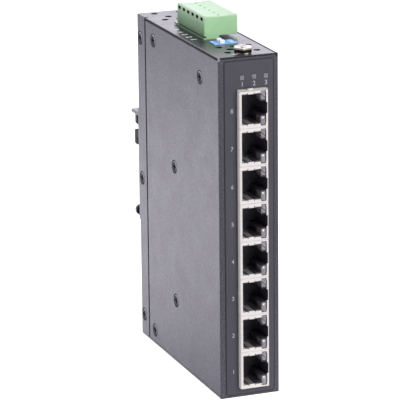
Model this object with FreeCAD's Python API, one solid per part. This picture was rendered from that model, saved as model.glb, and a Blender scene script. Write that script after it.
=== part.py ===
"""DIN rail ethernet switch: a slim folded-sheet case with eight network ports in its front.

Frame: millimetres, +Z up, origin at the centre of the case's bottom face.
X runs across the case, the front face looks along -Y and the rail clip sits on the back (+Y).
"""

import FreeCAD, Part
import math
import os
from FreeCAD import Vector

os.makedirs("parts", exist_ok=True)

# ---------------------------------------------------------------- what sets the case's height
port_count = 8
port_pitch = 15.83
port_gap = 0.1              # between two neighbouring shields
port_1_height = 12.0        # middle of the lowest port above the case's bottom
space_above_ports = 13.625  # from the highest shield to the case's top

port_half = (port_pitch - port_gap) / 2
row_bottom = port_1_height - port_half
row_top = port_1_height + (port_count - 1) * port_pitch + port_half

# ---------------------------------------------------------------- what sets the case's depth
dip_setback = 26.75         # of the option switch's middle, behind the front face
dip_width = 6.7
terminal_gap = 3.89         # between the option switch and the power terminal
pole_count = 6
pole_pitch = 5.08
terminal_end_wall = 0.12
space_behind_terminal = 30.29

terminal_half = pole_count * pole_pitch / 2 + terminal_end_wall

# ---------------------------------------------------------------- case
case_width = 26.1
sheet = 1.0                 # thickness of the folded steel sheet
seat_gap = 0.2              # clearance between two sheets that lie next to each other
bend_radius = 0.6           # outside radius of a fold
edge_radius = 0.3           # broken edge of a panel
strip_width = 9.25          # rear flange beside the cover
seam_width = 1.3            # open seam between cover and rear flange
lip_clearance = 1.2         # height left open above and below the cover's rear lip
overcut = 1.0               # how far a cutting tool runs past the face that it enters
touch = 1e-6                # two heights closer than this are one

case_depth = dip_setback + dip_width / 2 + terminal_gap + 2 * terminal_half + space_behind_terminal
x_left = -case_width / 2
x_right = case_width / 2
y_front = -case_depth / 2
y_back = case_depth / 2
z_top = row_top + space_above_ports
inside_left = x_left + sheet
inside_right = x_right - sheet
inside_front = y_front + sheet
inside_back = y_back - sheet
strip_front = y_back - strip_width
cover_rear = strip_front - seam_width

# ---------------------------------------------------------------- countersunk screws
screw_radius = 1.5
screw_head_radius = 2.95
screw_head_height = 0.9
screw_length = 3.0
strip_screw_length = 4.0
thread_clearance = 0.05
countersink_margin = 0.08
recess_width = 0.75
recess_span = 3.3
recess_depth = 0.6
front_screw_setback = 20.8  # of the cover's screws, behind the front face
front_screw_drop = 12.1     # below the top
rear_screw_setback = 19.5   # ahead of the back face
rear_screw_drop = 8.0
middle_screw_setback = 51.5
middle_screw_height = 86.8
low_screw_setback = 51.3
low_screw_height = 27.7
foot_screw_setback = 17.0   # ahead of the back face
foot_screw_height = 6.3
strip_screw_setback = 3.6   # ahead of the back face
strip_screw_low = 9.6
strip_screw_drop = 10.1     # below the top
strip_screw_count = 3

cover_screw_places = (
    (y_front + front_screw_setback, z_top - front_screw_drop),
    (y_back - rear_screw_setback, z_top - rear_screw_drop),
    (y_front + middle_screw_setback, middle_screw_height),
    (y_front + low_screw_setback, low_screw_height),
    (y_back - foot_screw_setback, foot_screw_height))
strip_screw_y = y_back - strip_screw_setback
strip_screw_step = (z_top - strip_screw_drop - strip_screw_low) / (strip_screw_count - 1)

# ---------------------------------------------------------------- circuit board
board_thickness = 1.6
standoff_length = 4.4       # from the cover's side plate to the board
board_front_gap = 0.6
board_rear_gap = 2.4
board_bottom = 2.6
board_top_gap = 3.3         # below the case's top
board_hole_radius = 1.7
standoff_flats = 5.0
board_screw_head_radius = 2.7
board_screw_head_height = 1.6
board_screw_head_round = 0.55
board_screw_recess = 1.8    # span of the recess in a board screw
board_screw_reach = 2.0     # thread inside the standoff

board_back = inside_left + standoff_length
board_face = board_back + board_thickness   # component side
board_rear = inside_back - board_rear_gap
board_top = z_top - board_top_gap

# ---------------------------------------------------------------- shape of a port
port_protrusion = 2.7       # in front of the case
port_depth = 18.0
shield_sheet = 0.3
shield_offset = 1.0         # from the board to the shield
shield_width = 12.52
shield_edge_radius = 0.45
panel_clearance = 0.15      # around the row of ports
insert_clearance = 0.05
window_left_margin = 0.94   # from the shield's edge to its mouth
window_right_margin = 0.9
window_end_margin = 1.445
led_margin = 0.26           # from the mouth's edge to the lamp
led_width = 2.05
led_length = 5.0
led_height = 3.85
led_end_margin = 0.665
led_slack = 0.1
led_setback = 0.25          # behind the shield's face
led_edge = 0.3
latch_half = 2.32
latch_margin = 0.37         # from the latch's notch to the shield's edge
latch_channel_slack = 0.58
cavity_ledge = 0.11         # of the moulding inside the mouth, towards the board
cavity_end_ledge = 0.52
cavity_depth = 12.0
tab_setback = 2.74          # of the spring finger, from the mouth's edge
tab_width = 2.49
tab_slot = 0.3
tab_slot_depth = 0.45
tab_reach = 7.0             # spring finger inside the port
tab_rise = 0.22
contact_count = 8
contact_pitch = 1.02
contact_width = 0.45
contact_thick = 0.25
contact_rise = 3.0
contact_setback = 1.4       # from the mouth of the cavity
contact_tip_depth = 8.6
port_pin_radius = 0.35
solder_tail = 0.8           # of every pin behind the board
port_pin_setback = 3.0
port_pin_spacing = 10.0

port_front = y_front - port_protrusion
port_rear = port_front + port_depth
shield_left = board_face + shield_offset
shield_right = shield_left + shield_width
window_left = shield_left + window_left_margin
window_right = shield_right - window_right_margin
window_half = port_half - window_end_margin
led_right = window_right - led_margin
led_left = led_right - led_width
led_outer = port_half - led_end_margin
led_inner = led_outer - led_height
latch_right = shield_right - latch_margin
latch_channel_half = latch_half + latch_channel_slack
cavity_left = window_left + cavity_ledge
cavity_half = window_half - cavity_end_ledge
tab_left = window_left + tab_setback
tab_right = tab_left + tab_width

# ---------------------------------------------------------------- front label
label_left_margin = 2.3
label_right_margin = 2.1
label_bottom = 0.9
label_top_margin = 1.5
label_thick = 0.2
label_radius = 1.2
label_margin = 0.15         # between the label's cut-out and the panel's cut-out
status_size = 1.9
status_drop = 8.8           # of the status lamps, below the top
status_first = -2.8
status_pitch = 5.15
status_count = 3
status_hole_margin = 0.1
guide_depth = 5.0
guide_bar = 1.6
status_led_size = 1.4
status_led_pitch = 2.8

status_height = z_top - status_drop

# ---------------------------------------------------------------- option switch
dip_offset = 5.7            # of its middle, from the board
dip_length = 9.9
dip_height = 5.2
dip_rise = 0.25             # above the top panel
dip_panel_gap = 0.2
dip_pitch = 3.3
dip_count = 2
slot_length = 4.5
slot_width = 1.9
slot_depth = 1.6
slider_length = 2.0
slider_width = 1.7
slider_rise = 1.3
slider_slack = 0.1
slider_edge = 0.15
dip_pin_radius = 0.3
dip_pin_low = 1.04          # pins above the body's underside
dip_pin_high = 2.6

dip_centre_x = board_face + dip_offset
dip_centre_y = y_front + dip_setback
dip_top = z_top + dip_rise

# ---------------------------------------------------------------- power terminal
header_width = 7.05
header_depth = 10.9         # below the top panel's face
header_rise = 0.75          # rim above the top panel
header_wall = 0.9
header_floor = 1.6
header_panel_gap = 0.3
header_nub_width = 1.1
header_nub_length = 3.2
header_nub_lift = 0.3
plug_inset = 0.2            # from the header's left face
plug_width = 14.91
plug_ledge = 0.7            # from the header's rim to the part that hangs over the panel
plug_tongue_clearance = 0.1
plug_bottom_gap = 0.6
plug_chamfer = 0.5
plug_edge = 0.3
plug_hollow = 0.35          # depth of the shallow dish in its top
plug_groove = 0.6           # dark joint above the header's rim
window_width = 2.6
window_drop = 1.45          # from the plug's top to the window's middle
window_height = 1.35
window_depth = 1.6
entry_sill = 0.6            # below a wire entry
entry_size = 3.2
entry_depth = 6.0
clamp_screw_web = 0.4       # between a wire entry and its screw's hole
clamp_screw_radius = 1.5
clamp_screw_roof = 0.9      # above the screw's hole
clamp_screw_sink = 1.6
clamp_screw_length = 4.4
clamp_slot_width = 0.6
clamp_slot_depth = 0.7
clamp_wall = 0.5
clamp_depth = 4.6
pin_size = 1.0
pin_rise = 8.0              # contact pin inside the header
pin_tail = 2.6

terminal_centre = dip_centre_y + dip_width / 2 + terminal_gap + terminal_half
header_right = board_face + header_width
header_bottom = z_top - header_depth
header_top = z_top + header_rise
plug_left = board_face + plug_inset
plug_right = plug_left + plug_width
plug_underside = header_top + plug_ledge
entry_low = plug_underside + entry_sill
clamp_hole_radius = clamp_screw_radius + plug_tongue_clearance
clamp_screw_height = entry_low + entry_size + clamp_screw_web + clamp_hole_radius
plug_top = clamp_screw_height + clamp_hole_radius + clamp_screw_roof

# ---------------------------------------------------------------- earth screw
earth_x = 0.2
earth_setback = 6.6         # behind the front face
earth_radius = 2.0
earth_flats = 7.0
earth_turn = 13.0           # how the hexagon happens to stand, in degrees
earth_head = 2.0
earth_crown_radius = 3.75   # of the head's top, where its corners are trimmed
earth_dish_radius = 2.9
earth_dish_slope = 1.0      # how much narrower the dish's floor is
earth_dish_depth = 0.5
earth_length = 6.0
washer_radius = 3.55
washer_thick = 0.4
nut_radius = 3.5
nut_height = 2.6

earth_y = y_front + earth_setback

# ---------------------------------------------------------------- vents in the top
vent_radius = 1.5
front_vent_rows = ((8.5, (-5.6, 7.2)), (13.8, (-2.4, 4.0)), (18.6, (-5.4, 0.8, 7.4)))   # behind the front
rear_vent_rows = ((4.3, (-6.7, 4.8)), (11.8, (-3.0, 3.0)), (17.4, (-6.6, 0.0, 6.6)))    # ahead of the back

# ---------------------------------------------------------------- rail clip
rail_height = 35.0
rail_bottom = 53.6
rail_play = 0.1             # under the rail
rail_slot = 1.8             # room for the rail's edge
clip_plate = 2.0
clip_rise = 2.1             # of the plate above the hook
clip_inset = 0.5
hook_thick = 1.5
hook_reach = 8.4
hook_lip_drop = 8.0
hook_lip_inset = 1.6
low_hook_reach = 5.5
low_hook_lip = 3.6
low_hook_round = 2.4        # of the lower hook's corners
clip_edge = 0.35
clip_round = 0.7
catch_grip = 3.6            # how far the catch hangs over the rail's edge
catch_head = 2.8            # of the catch above the rail
catch_depth = 5.0
catch_inset = 0.2
catch_gap = 0.1
catch_travel = 3.5
catch_tongue_half = 3.5
catch_tongue_rise = 3.1
catch_edge = 0.8
stop_pin_radius = 1.0
stop_pin_rise = 1.0         # above the catch's shoulder
stop_pin_clearance = 0.06
spring_room = 7.0           # between the catch's shoulder and the hook
spring_x = 7.0
spring_radius = 1.4
spring_wire = 0.2
spring_seat = 0.3           # from each end face to the middle of the wire
spring_turns = 6
clip_screw_inset = 5.55     # from the case's side
clip_screw_rise = 8.5       # above the clip's lower edge
clip_screw_pitch = 20.0
clip_screw_length = 4.2
clip_nut_radius = 2.6
clip_nut_height = 1.6

rail_top = rail_bottom + rail_height
clip_bottom = rail_bottom - rail_play - hook_thick
catch_low = rail_top - catch_grip
catch_high = rail_top + catch_head
catch_tongue_top = catch_high + catch_tongue_rise
stop_pin_height = catch_high + stop_pin_rise
hook_top = catch_high + spring_room + hook_thick
hook_lip_bottom = hook_top - hook_lip_drop
clip_top = hook_top + clip_rise
clip_screw_x = x_right - clip_screw_inset
clip_screw_low = clip_bottom + clip_screw_rise
plate_rear = y_back + clip_plate

# ---------------------------------------------------------------- parts on the board
transformer_length = 12.7
transformer_width = 7.4
transformer_height = 5.6
transformer_gap = 4.5       # behind the ports
chip_size = 20.0
chip_height = 1.4
chip_setback = 49.5         # of its middle, behind the front face
chip_z = 62.0
heatsink_size = 24.0
heatsink_base = 1.6
heatsink_fin = 1.2
heatsink_fin_count = 7
heatsink_height = 11.0
capacitor_radius = 4.0
capacitor_height = 12.5
capacitor_count = 2
capacitor_setback = 12.1    # ahead of the board's rear edge
capacitor_drop = 36.3       # below the top
capacitor_pitch = 10.5
inductor_size = 10.0
inductor_height = 5.0
inductor_setback = 30.1     # ahead of the board's rear edge
inductor_drop = 32.3
relay_width = 10.0
relay_length = 15.0
relay_height = 10.0
relay_setback = 14.1        # ahead of the board's rear edge
relay_drop = 19.8
fuse_length = 8.0
fuse_width = 3.0
fuse_drop = 7.4             # below the header
crystal_length = 11.0
crystal_width = 4.6
crystal_height = 3.6
memory_size = 5.2
memory_height = 1.7
neighbour_y = 22.0          # of the crystal and the memory, behind the chip
neighbour_z = 12.0          # below and above the chip

transformer_row = port_rear + transformer_gap + transformer_width / 2
chip_y = y_front + chip_setback


# ================================================================ helpers
def block(x0, x1, y0, y1, z0, z1):
    """Box between two corners."""
    return Part.makeBox(x1 - x0, y1 - y0, z1 - z0, Vector(x0, y0, z0))


def rod(radius, start, axis, length):
    """Cylinder from a point along an axis."""
    return Part.makeCylinder(radius, length, Vector(*start), Vector(*axis))


def edges_along(shape, axis, where):
    """Straight edges parallel to an axis whose middle passes a test."""
    found = []
    for edge in shape.Edges:
        if not isinstance(edge.Curve, (Part.Line, Part.LineSegment)):
            continue
        direction = (edge.Vertexes[-1].Point - edge.Vertexes[0].Point).normalize()
        middle = (edge.Vertexes[-1].Point + edge.Vertexes[0].Point) * 0.5
        if abs(abs(direction.dot(axis)) - 1) < touch and where(middle):
            found.append(edge)
    return found


def prism_x(points, x0, x1):
    """Outline of (y, z) points extruded from x0 to x1."""
    wire = Part.makePolygon([Vector(x0, y, z) for y, z in points + points[:1]])
    return Part.Face(wire).extrude(Vector(x1 - x0, 0, 0))


def prism_y(points, y0, y1):
    """Outline of (x, z) points extruded from y0 to y1."""
    wire = Part.makePolygon([Vector(x, y0, z) for x, z in points + points[:1]])
    return Part.Face(wire).extrude(Vector(0, y1 - y0, 0))


def prism_z(points, z0, z1):
    """Outline of (x, y) points extruded from z0 to z1."""
    wire = Part.makePolygon([Vector(x, y, z0) for x, y in points + points[:1]])
    return Part.Face(wire).extrude(Vector(0, 0, z1 - z0))


def joined(shapes):
    """One solid from touching shapes."""
    whole = shapes[0].fuse(shapes[1:]) if len(shapes) > 1 else shapes[0]
    return whole.removeSplitter()


def group(shapes):
    """Separate solids kept together in one node."""
    return Part.makeCompound(shapes)


def save(name, shape):
    """Writes one node."""
    shape.exportStep("parts/" + name + ".step")


def cross_x(x0, x1, y, z, span):
    """Cross-shaped recess along X, centred at (y, z)."""
    half, thin = span / 2, recess_width / 2
    upright = block(x0, x1, y - thin, y + thin, z - half, z + half)
    return upright.fuse(block(x0, x1, y - half, y + half, z - thin, z + thin))


def hexagon(u, v, flats, turn):
    """Corners of a hexagon of a width over its flats, turned by some degrees."""
    across = flats / math.sqrt(3)
    angles = [math.radians(60 * i + turn) for i in range(6)]
    return [(u + across * math.cos(a), v + across * math.sin(a)) for a in angles]


def countersunk_screw(face_x, side, y, z, length):
    """Flat-headed cross-recess screw whose head lies in a wall's outer face; side is +1 or -1."""
    inward = (-side, 0, 0)
    head = Part.makeCone(screw_head_radius, screw_radius, screw_head_height,
                         Vector(face_x, y, z), Vector(*inward))
    shank = rod(screw_radius, (face_x, y, z), inward, length)
    x0, x1 = sorted((face_x, face_x - side * recess_depth))
    return joined([head, shank]).cut(cross_x(x0, x1, y, z, recess_span))


def countersink(face_x, side, y, z):
    """Hole that takes a countersunk screw through one sheet."""
    inward = (-side, 0, 0)
    reach = sheet + countersink_margin
    mouth = screw_head_radius + countersink_margin
    slope = (screw_head_radius - screw_radius) / screw_head_height
    throat = max(mouth - slope * reach, screw_radius + countersink_margin)
    cone = Part.makeCone(mouth, throat, reach, Vector(face_x, y, z), Vector(*inward))
    through = rod(screw_radius + countersink_margin, (face_x, y, z), inward, sheet + overcut)
    return cone.fuse(through)


def port_height(k):
    """Middle of port k, counted from 0 at the bottom."""
    return port_1_height + k * port_pitch


def pole_y(k):
    """Middle of pole k of the power terminal, along the case."""
    return terminal_centre + (k - (pole_count - 1) / 2) * pole_pitch


def status_places():
    """The status lamps' places across the case."""
    return [status_first + k * status_pitch for k in range(status_count)]


def strip_screw_height(k):
    """Height of screw k in the rear flange."""
    return strip_screw_low + k * strip_screw_step


# ================================================================ case
def top_cutouts():
    """Everything that is cut through the top panel."""
    low, high = z_top - sheet - overcut, z_top + overcut
    half = terminal_half + header_panel_gap
    cuts = [block(board_face - header_panel_gap, header_right + header_panel_gap,
                  terminal_centre - half, terminal_centre + half, low, high)]
    half_x, half_y = dip_length / 2 + dip_panel_gap, dip_width / 2 + dip_panel_gap
    cuts.append(block(dip_centre_x - half_x, dip_centre_x + half_x,
                      dip_centre_y - half_y, dip_centre_y + half_y, low, high))
    cuts.append(rod(earth_radius + countersink_margin, (earth_x, earth_y, low), (0, 0, 1), high - low))
    rows = [(y_front + setback, row) for setback, row in front_vent_rows]
    rows += [(y_back - setback, row) for setback, row in rear_vent_rows]
    for y, row in rows:
        cuts += [rod(vent_radius, (x, y, low), (0, 0, 1), high - low) for x in row]
    return cuts


def clip_screw_places():
    """The four screws of the rail clip, as (x, z)."""
    heights = (clip_screw_low, clip_screw_low + clip_screw_pitch)
    return [(x, z) for x in (-clip_screw_x, clip_screw_x) for z in heights]


def make_chassis():
    """Top, back and bottom panels folded from one sheet, with a flange down each rear edge."""
    front = inside_front + seat_gap
    outer = block(x_left, x_right, front, y_back, 0, z_top)
    folds = edges_along(outer, Vector(0, 0, 1), lambda p: p.y > y_back - sheet)
    folds += edges_along(outer, Vector(1, 0, 0), lambda p: p.y > y_back - sheet)
    outer = outer.makeFillet(bend_radius, folds)
    inner = block(inside_left, inside_right, front - overcut, inside_back, sheet, z_top - sheet)
    shell = outer.cut(inner)
    for x0, x1 in ((x_left - overcut, inside_left), (inside_right, x_right + overcut)):
        shell = shell.cut(block(x0, x1, front - overcut, strip_front, sheet, z_top - sheet))
    long_edges = edges_along(shell, Vector(0, 1, 0), lambda p: p.y < strip_front and
                             (p.z > z_top - edge_radius or p.z < edge_radius) and
                             abs(p.x) > x_right - edge_radius)
    shell = shell.makeFillet(edge_radius, long_edges)
    for k in range(strip_screw_count):
        shell = shell.cut(countersink(x_left, -1, strip_screw_y, strip_screw_height(k)))
        shell = shell.cut(countersink(x_right, 1, strip_screw_y, strip_screw_height(k)))
    for x, z in clip_screw_places():
        shell = shell.cut(rod(screw_radius + countersink_margin, (x, inside_back - overcut, z),
                              (0, 1, 0), sheet + 2 * overcut))
    return shell.cut(top_cutouts())


def status_holes():
    """Square holes for the status lamps, through the label and the front panel."""
    half = status_size / 2 + status_hole_margin
    return [block(x - half, x + half, y_front - overcut, inside_front + overcut,
                  status_height - half, status_height + half) for x in status_places()]


def make_cover():
    """Front panel and both side plates folded from one sheet, with a set-in lip along each rear edge."""
    low, high = sheet + seat_gap, z_top - sheet - seat_gap
    outer = block(x_left, x_right, y_front, cover_rear, 0, z_top)
    corners = edges_along(outer, Vector(0, 0, 1), lambda p: p.y < inside_front)
    outer = outer.makeFillet(bend_radius, corners)
    inner = block(inside_left, inside_right, inside_front, cover_rear + overcut, -overcut, z_top + overcut)
    folded = outer.cut(inner)
    for z0, z1 in ((-overcut, low), (high, z_top + overcut)):
        folded = folded.cut(block(x_left - overcut, x_right + overcut, inside_front, cover_rear + overcut,
                                  z0, z1))
    lips = []
    lip_low, lip_high = sheet + lip_clearance, z_top - sheet - lip_clearance
    lip_rear = inside_back - seat_gap
    for side in (-1, 1):
        outer_x = side * x_right
        lip_out = side * (inside_right - seat_gap)
        lip_in = lip_out - side * sheet
        web = sorted((outer_x, lip_in))
        lips.append(block(web[0], web[1], cover_rear - sheet, cover_rear, lip_low, lip_high))
        leaf = sorted((lip_out, lip_in))
        lips.append(block(leaf[0], leaf[1], cover_rear - sheet, lip_rear, lip_low, lip_high))
    folded = joined([folded] + lips)
    cut_left, cut_right = shield_left - panel_clearance, shield_right + panel_clearance
    folded = folded.cut(block(cut_left, cut_right, y_front - overcut, inside_front + overcut,
                              row_bottom - panel_clearance, row_top + panel_clearance))
    folded = folded.cut(status_holes())
    for y, z in cover_screw_places:
        folded = folded.cut(countersink(x_left, -1, y, z))
    thread = screw_radius + thread_clearance
    for k in range(strip_screw_count):
        folded = folded.cut(rod(thread, (x_left - overcut, strip_screw_y, strip_screw_height(k)),
                                (1, 0, 0), case_width + 2 * overcut))
    return folded


def make_front_label():
    """Printed plastic overlay with a window for the row of ports."""
    film = block(x_left + label_left_margin, x_right - label_right_margin, y_front - label_thick, y_front,
                 label_bottom, z_top - label_top_margin)
    film = film.makeFillet(label_radius, edges_along(film, Vector(0, 1, 0), lambda p: True))
    margin = panel_clearance + label_margin
    film = film.cut(block(shield_left - margin, shield_right + margin, y_front - overcut, inside_front,
                          row_bottom - margin, row_top + margin))
    return film.cut(status_holes())


def make_cover_screws():
    """Flush screws that hold the left side plate to the pillars of the board."""
    return group([countersunk_screw(x_left, -1, y, z, screw_length) for y, z in cover_screw_places])


def make_strip_screws():
    """Flush screws through the rear flanges into the cover's lips, three on each side."""
    screws = []
    for side in (-1, 1):
        for k in range(strip_screw_count):
            screws.append(countersunk_screw(side * x_right, side, strip_screw_y, strip_screw_height(k),
                                            strip_screw_length))
    return group(screws)


# ================================================================ board and its fixings
def make_board():
    """Upright circuit board, component side towards +X."""
    board = block(board_back, board_face, inside_front + board_front_gap, board_rear,
                  board_bottom, board_top)
    holes = [(place, board_hole_radius) for place in cover_screw_places]
    for k in range(port_count):
        holes += [(place, port_pin_radius + insert_clearance) for place in port_pin_places(k)]
    holes += [(place, dip_pin_radius + insert_clearance) for place in dip_pin_places()]
    foot_radius = pin_size * math.sqrt(0.5)
    holes += [(place, foot_radius + insert_clearance) for place in header_foot_places()]
    return board.cut([rod(radius, (board_back - overcut, y, z), (1, 0, 0), board_thickness + 2 * overcut)
                      for (y, z), radius in holes])


def make_standoffs():
    """Hexagonal pillars between the cover and the board."""
    pillars = []
    for y, z in cover_screw_places:
        pillar = prism_x(hexagon(y, z, standoff_flats, 0), inside_left, board_back)
        pillars.append(pillar.cut(rod(screw_radius + thread_clearance, (inside_left - overcut, y, z),
                                      (1, 0, 0), standoff_length + 2 * overcut)))
    return group(pillars)


def make_board_screws():
    """Pan-headed screws from the component side into the standoffs."""
    screws = []
    for y, z in cover_screw_places:
        crown = board_face + board_screw_head_height
        head = rod(board_screw_head_radius, (board_face, y, z), (1, 0, 0), board_screw_head_height)
        rim = [e for e in head.Edges if e.BoundBox.XMin > crown - touch]
        head = head.makeFillet(board_screw_head_round, rim)
        shank = rod(screw_radius, (board_face, y, z), (-1, 0, 0), board_thickness + board_screw_reach)
        recess = cross_x(crown - recess_depth, crown, y, z, board_screw_recess)
        screws.append(joined([head, shank]).cut(recess))
    return group(screws)


# ================================================================ ports
def port_pin_places(k):
    """Where a port's two locating pins pass through the board."""
    y = port_rear - port_pin_setback
    middle = port_height(k)
    return [(y, middle - port_pin_spacing / 2), (y, middle + port_pin_spacing / 2)]


def make_port_shield(k):
    """Tinned sheet box around one port, open towards the board, with the mouth cut in its face."""
    middle = port_height(k)
    low, high = middle - port_half, middle + port_half
    outer = block(shield_left, shield_right, port_front, port_rear, low, high)
    bends = edges_along(outer, Vector(0, 0, 1), lambda p: p.y < port_front + touch)
    outer = outer.makeFillet(shield_edge_radius, bends)
    inner = block(shield_left - overcut, shield_right - shield_sheet, port_front + shield_sheet,
                  port_rear - shield_sheet, low + shield_sheet, high - shield_sheet)
    lip = block(shield_left, shield_left + shield_sheet, port_front + shield_sheet,
                inside_front + board_front_gap - insert_clearance, low + shield_sheet, high - shield_sheet)
    shell = outer.cut(inner.cut(lip))
    near, far = port_front - overcut, port_front + shield_sheet + edge_radius
    led_half = led_outer + led_slack
    mouth = [block(window_left, window_right, near, far, middle - window_half, middle + window_half),
             block(led_left - led_slack, led_right + led_slack, near, far,
                   middle - led_half, middle + led_half),
             block(window_right - overcut, latch_right, near, far, middle - latch_half, middle + latch_half)]
    shell = shell.cut(mouth)
    for side in (-1, 1):
        for x in (tab_left - tab_slot, tab_right):
            edge = middle + side * window_half
            z0, z1 = sorted((edge - side * overcut, edge + side * tab_slot_depth))
            shell = shell.cut(block(x, x + tab_slot, near, far, z0, z1))
    fingers = []
    for side in (-1, 1):
        edge = middle + side * window_half
        z0, z1 = sorted((edge + side * shield_sheet, edge - side * tab_rise))
        front = block(tab_left, tab_right, port_front, port_front + shield_sheet, z0, z1)
        strip0, strip1 = sorted((edge - side * tab_rise, edge - side * (tab_rise - shield_sheet)))
        leaf = block(tab_left, tab_right, port_front, port_front + tab_reach, strip0, strip1)
        fingers += [front, leaf]
    return joined([shell] + fingers)


def make_port_insert(k):
    """Black moulded body of one port with its plug cavity, latch channel and two lamp pockets."""
    middle = port_height(k)
    half = port_half - shield_sheet - insert_clearance
    front = port_front + shield_sheet + insert_clearance
    rear = port_rear - shield_sheet - insert_clearance
    left = shield_left + shield_sheet + insert_clearance
    right = shield_right - shield_sheet - insert_clearance
    foot = block(board_face, right, inside_front + board_front_gap, rear, middle - half, middle + half)
    body = joined([foot, block(left, right, front, rear, middle - half, middle + half)])
    deep = front + cavity_depth
    cuts = [block(cavity_left, led_left, front - overcut, deep, middle - cavity_half, middle + cavity_half),
            block(led_left - overcut, latch_right, front - overcut, deep,
                  middle - latch_channel_half, middle + latch_channel_half)]
    finger_room = window_half + shield_sheet
    cuts.append(block(tab_left - tab_slot, tab_right + tab_slot, front - overcut,
                      port_front + tab_reach + tab_slot, middle - finger_room, middle + finger_room))
    pocket_end = port_front + led_setback + led_length
    for side in (-1, 1):
        z0, z1 = sorted((middle + side * (led_inner - led_slack), middle + side * (half + overcut)))
        cuts.append(block(led_left - led_slack, led_right + led_slack, front - overcut, pocket_end, z0, z1))
    body = body.cut(cuts)
    pins = [rod(port_pin_radius, (board_face, y, z), (-1, 0, 0), board_thickness + solder_tail)
            for y, z in port_pin_places(k)]
    return joined([body] + pins)


def make_port_lamps():
    """Clear lamp windows, two in the latch-side corners of each port."""
    lamps = []
    front = port_front + led_setback
    for k in range(port_count):
        for side in (-1, 1):
            z0, z1 = sorted((port_height(k) + side * led_inner, port_height(k) + side * led_outer))
            lamp = block(led_left, led_right, front, front + led_length, z0, z1)
            crown = [e for e in lamp.Edges if abs(e.BoundBox.YMax - front) < touch]
            lamps.append(lamp.makeFillet(led_edge, crown))
    return group(lamps)


def make_port_contacts():
    """Sprung gold wires, eight in each port, hooked back from the floor of the cavity."""
    wires = []
    mouth = port_front + shield_sheet + insert_clearance
    end = mouth + cavity_depth
    near = mouth + contact_setback
    tip = mouth + contact_tip_depth
    t = contact_thick
    profile = [(cavity_left, end), (cavity_left, near), (cavity_left + t, near - t / 2),
               (cavity_left + contact_rise, tip), (cavity_left + contact_rise - t, tip + t / 2),
               (cavity_left + t, near + 2 * t), (cavity_left + t, end)]
    for k in range(port_count):
        for i in range(contact_count):
            z = port_height(k) + (i - (contact_count - 1) / 2) * contact_pitch
            wires.append(prism_z(profile, z - contact_width / 2, z + contact_width / 2))
    return group(wires)


# ================================================================ status lamps
def make_status_guide():
    """One clear moulding that carries light from the board to the three square windows."""
    half = status_size / 2
    rear = inside_front + guide_depth
    low, high = status_height - half, status_height + half
    places = status_places()
    parts = [block(board_face, places[-1] + half, rear - guide_bar, rear, low, high)]
    parts += [block(x - half, x + half, y_front - label_thick, rear, low, high) for x in places]
    return joined(parts)


def make_status_leds():
    """Surface-mount lamps on the board behind the light guide."""
    y = inside_front + guide_depth + status_led_size / 2
    middles = [status_height + (k - (status_count - 1) / 2) * status_led_pitch for k in range(status_count)]
    return group([on_board(y, z, status_led_size, status_led_size, status_led_size / 2) for z in middles])


# ================================================================ power terminal
def make_terminal_header():
    """Green pin header: an upright tray on the board, open at the top."""
    y0, y1 = terminal_centre - terminal_half, terminal_centre + terminal_half
    tray = block(board_face, header_right, y0, y1, header_bottom, header_top)
    tray = tray.cut(block(board_face + header_wall, header_right - header_wall, y0 + header_wall,
                          y1 - header_wall, header_bottom + header_floor, header_top + overcut))
    skirt_room = block(board_face + header_wall, header_right - header_wall, y0 - overcut, y0 + header_wall,
                       z_top, header_top + overcut)
    tray = tray.cut([skirt_room] + [pin_hole(k) for k in range(pole_count)])
    nub = block(board_face, board_face + header_nub_width, y1, y1 + header_nub_length,
                z_top + header_nub_lift, header_top + header_nub_lift)
    return joined([tray, nub])


def header_pin_x():
    """The row of pins stands in the middle of the header."""
    return (board_face + header_right) / 2


def header_foot_places():
    """Where the header's pins pass through the board."""
    return [(pole_y(k), header_bottom - pin_tail) for k in range(pole_count)]


def pin_hole(k):
    """Square hole in the header's floor for one pin."""
    x, y, half = header_pin_x(), pole_y(k), pin_size / 2
    return block(x - half, x + half, y - half, y + half,
                 header_bottom - overcut, header_bottom + header_floor + overcut)


def make_header_pins():
    """Square pins, bent through a right angle below the header and soldered in the board."""
    pins = []
    x, half = header_pin_x(), pin_size / 2
    tip = header_bottom + header_floor + pin_rise
    for y, z in header_foot_places():
        upright = block(x - half, x + half, y - half, y + half, z - half, tip)
        foot = block(board_back - solder_tail, x + half, y - half, y + half, z - half, z + half)
        pins.append(joined([upright, foot]))
    return group(pins)


def plug_outline():
    """The plug from its end, as (x, z): the tongue's root, the overhang and the chamfered top."""
    slide = plug_tongue_clearance
    tongue_left, tongue_right = board_face + header_wall + slide, header_right - header_wall - slide
    groove_top = header_top + plug_groove
    return [(plug_left, groove_top), (tongue_left, groove_top), (tongue_left, header_top - overcut),
            (tongue_right, header_top - overcut), (tongue_right, header_top + slide),
            (header_right, header_top + slide), (header_right, plug_underside),
            (plug_right, plug_underside), (plug_right, plug_top - plug_edge),
            (plug_right - plug_edge, plug_top), (plug_left + plug_chamfer, plug_top),
            (plug_left, plug_top - plug_chamfer)]


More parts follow.
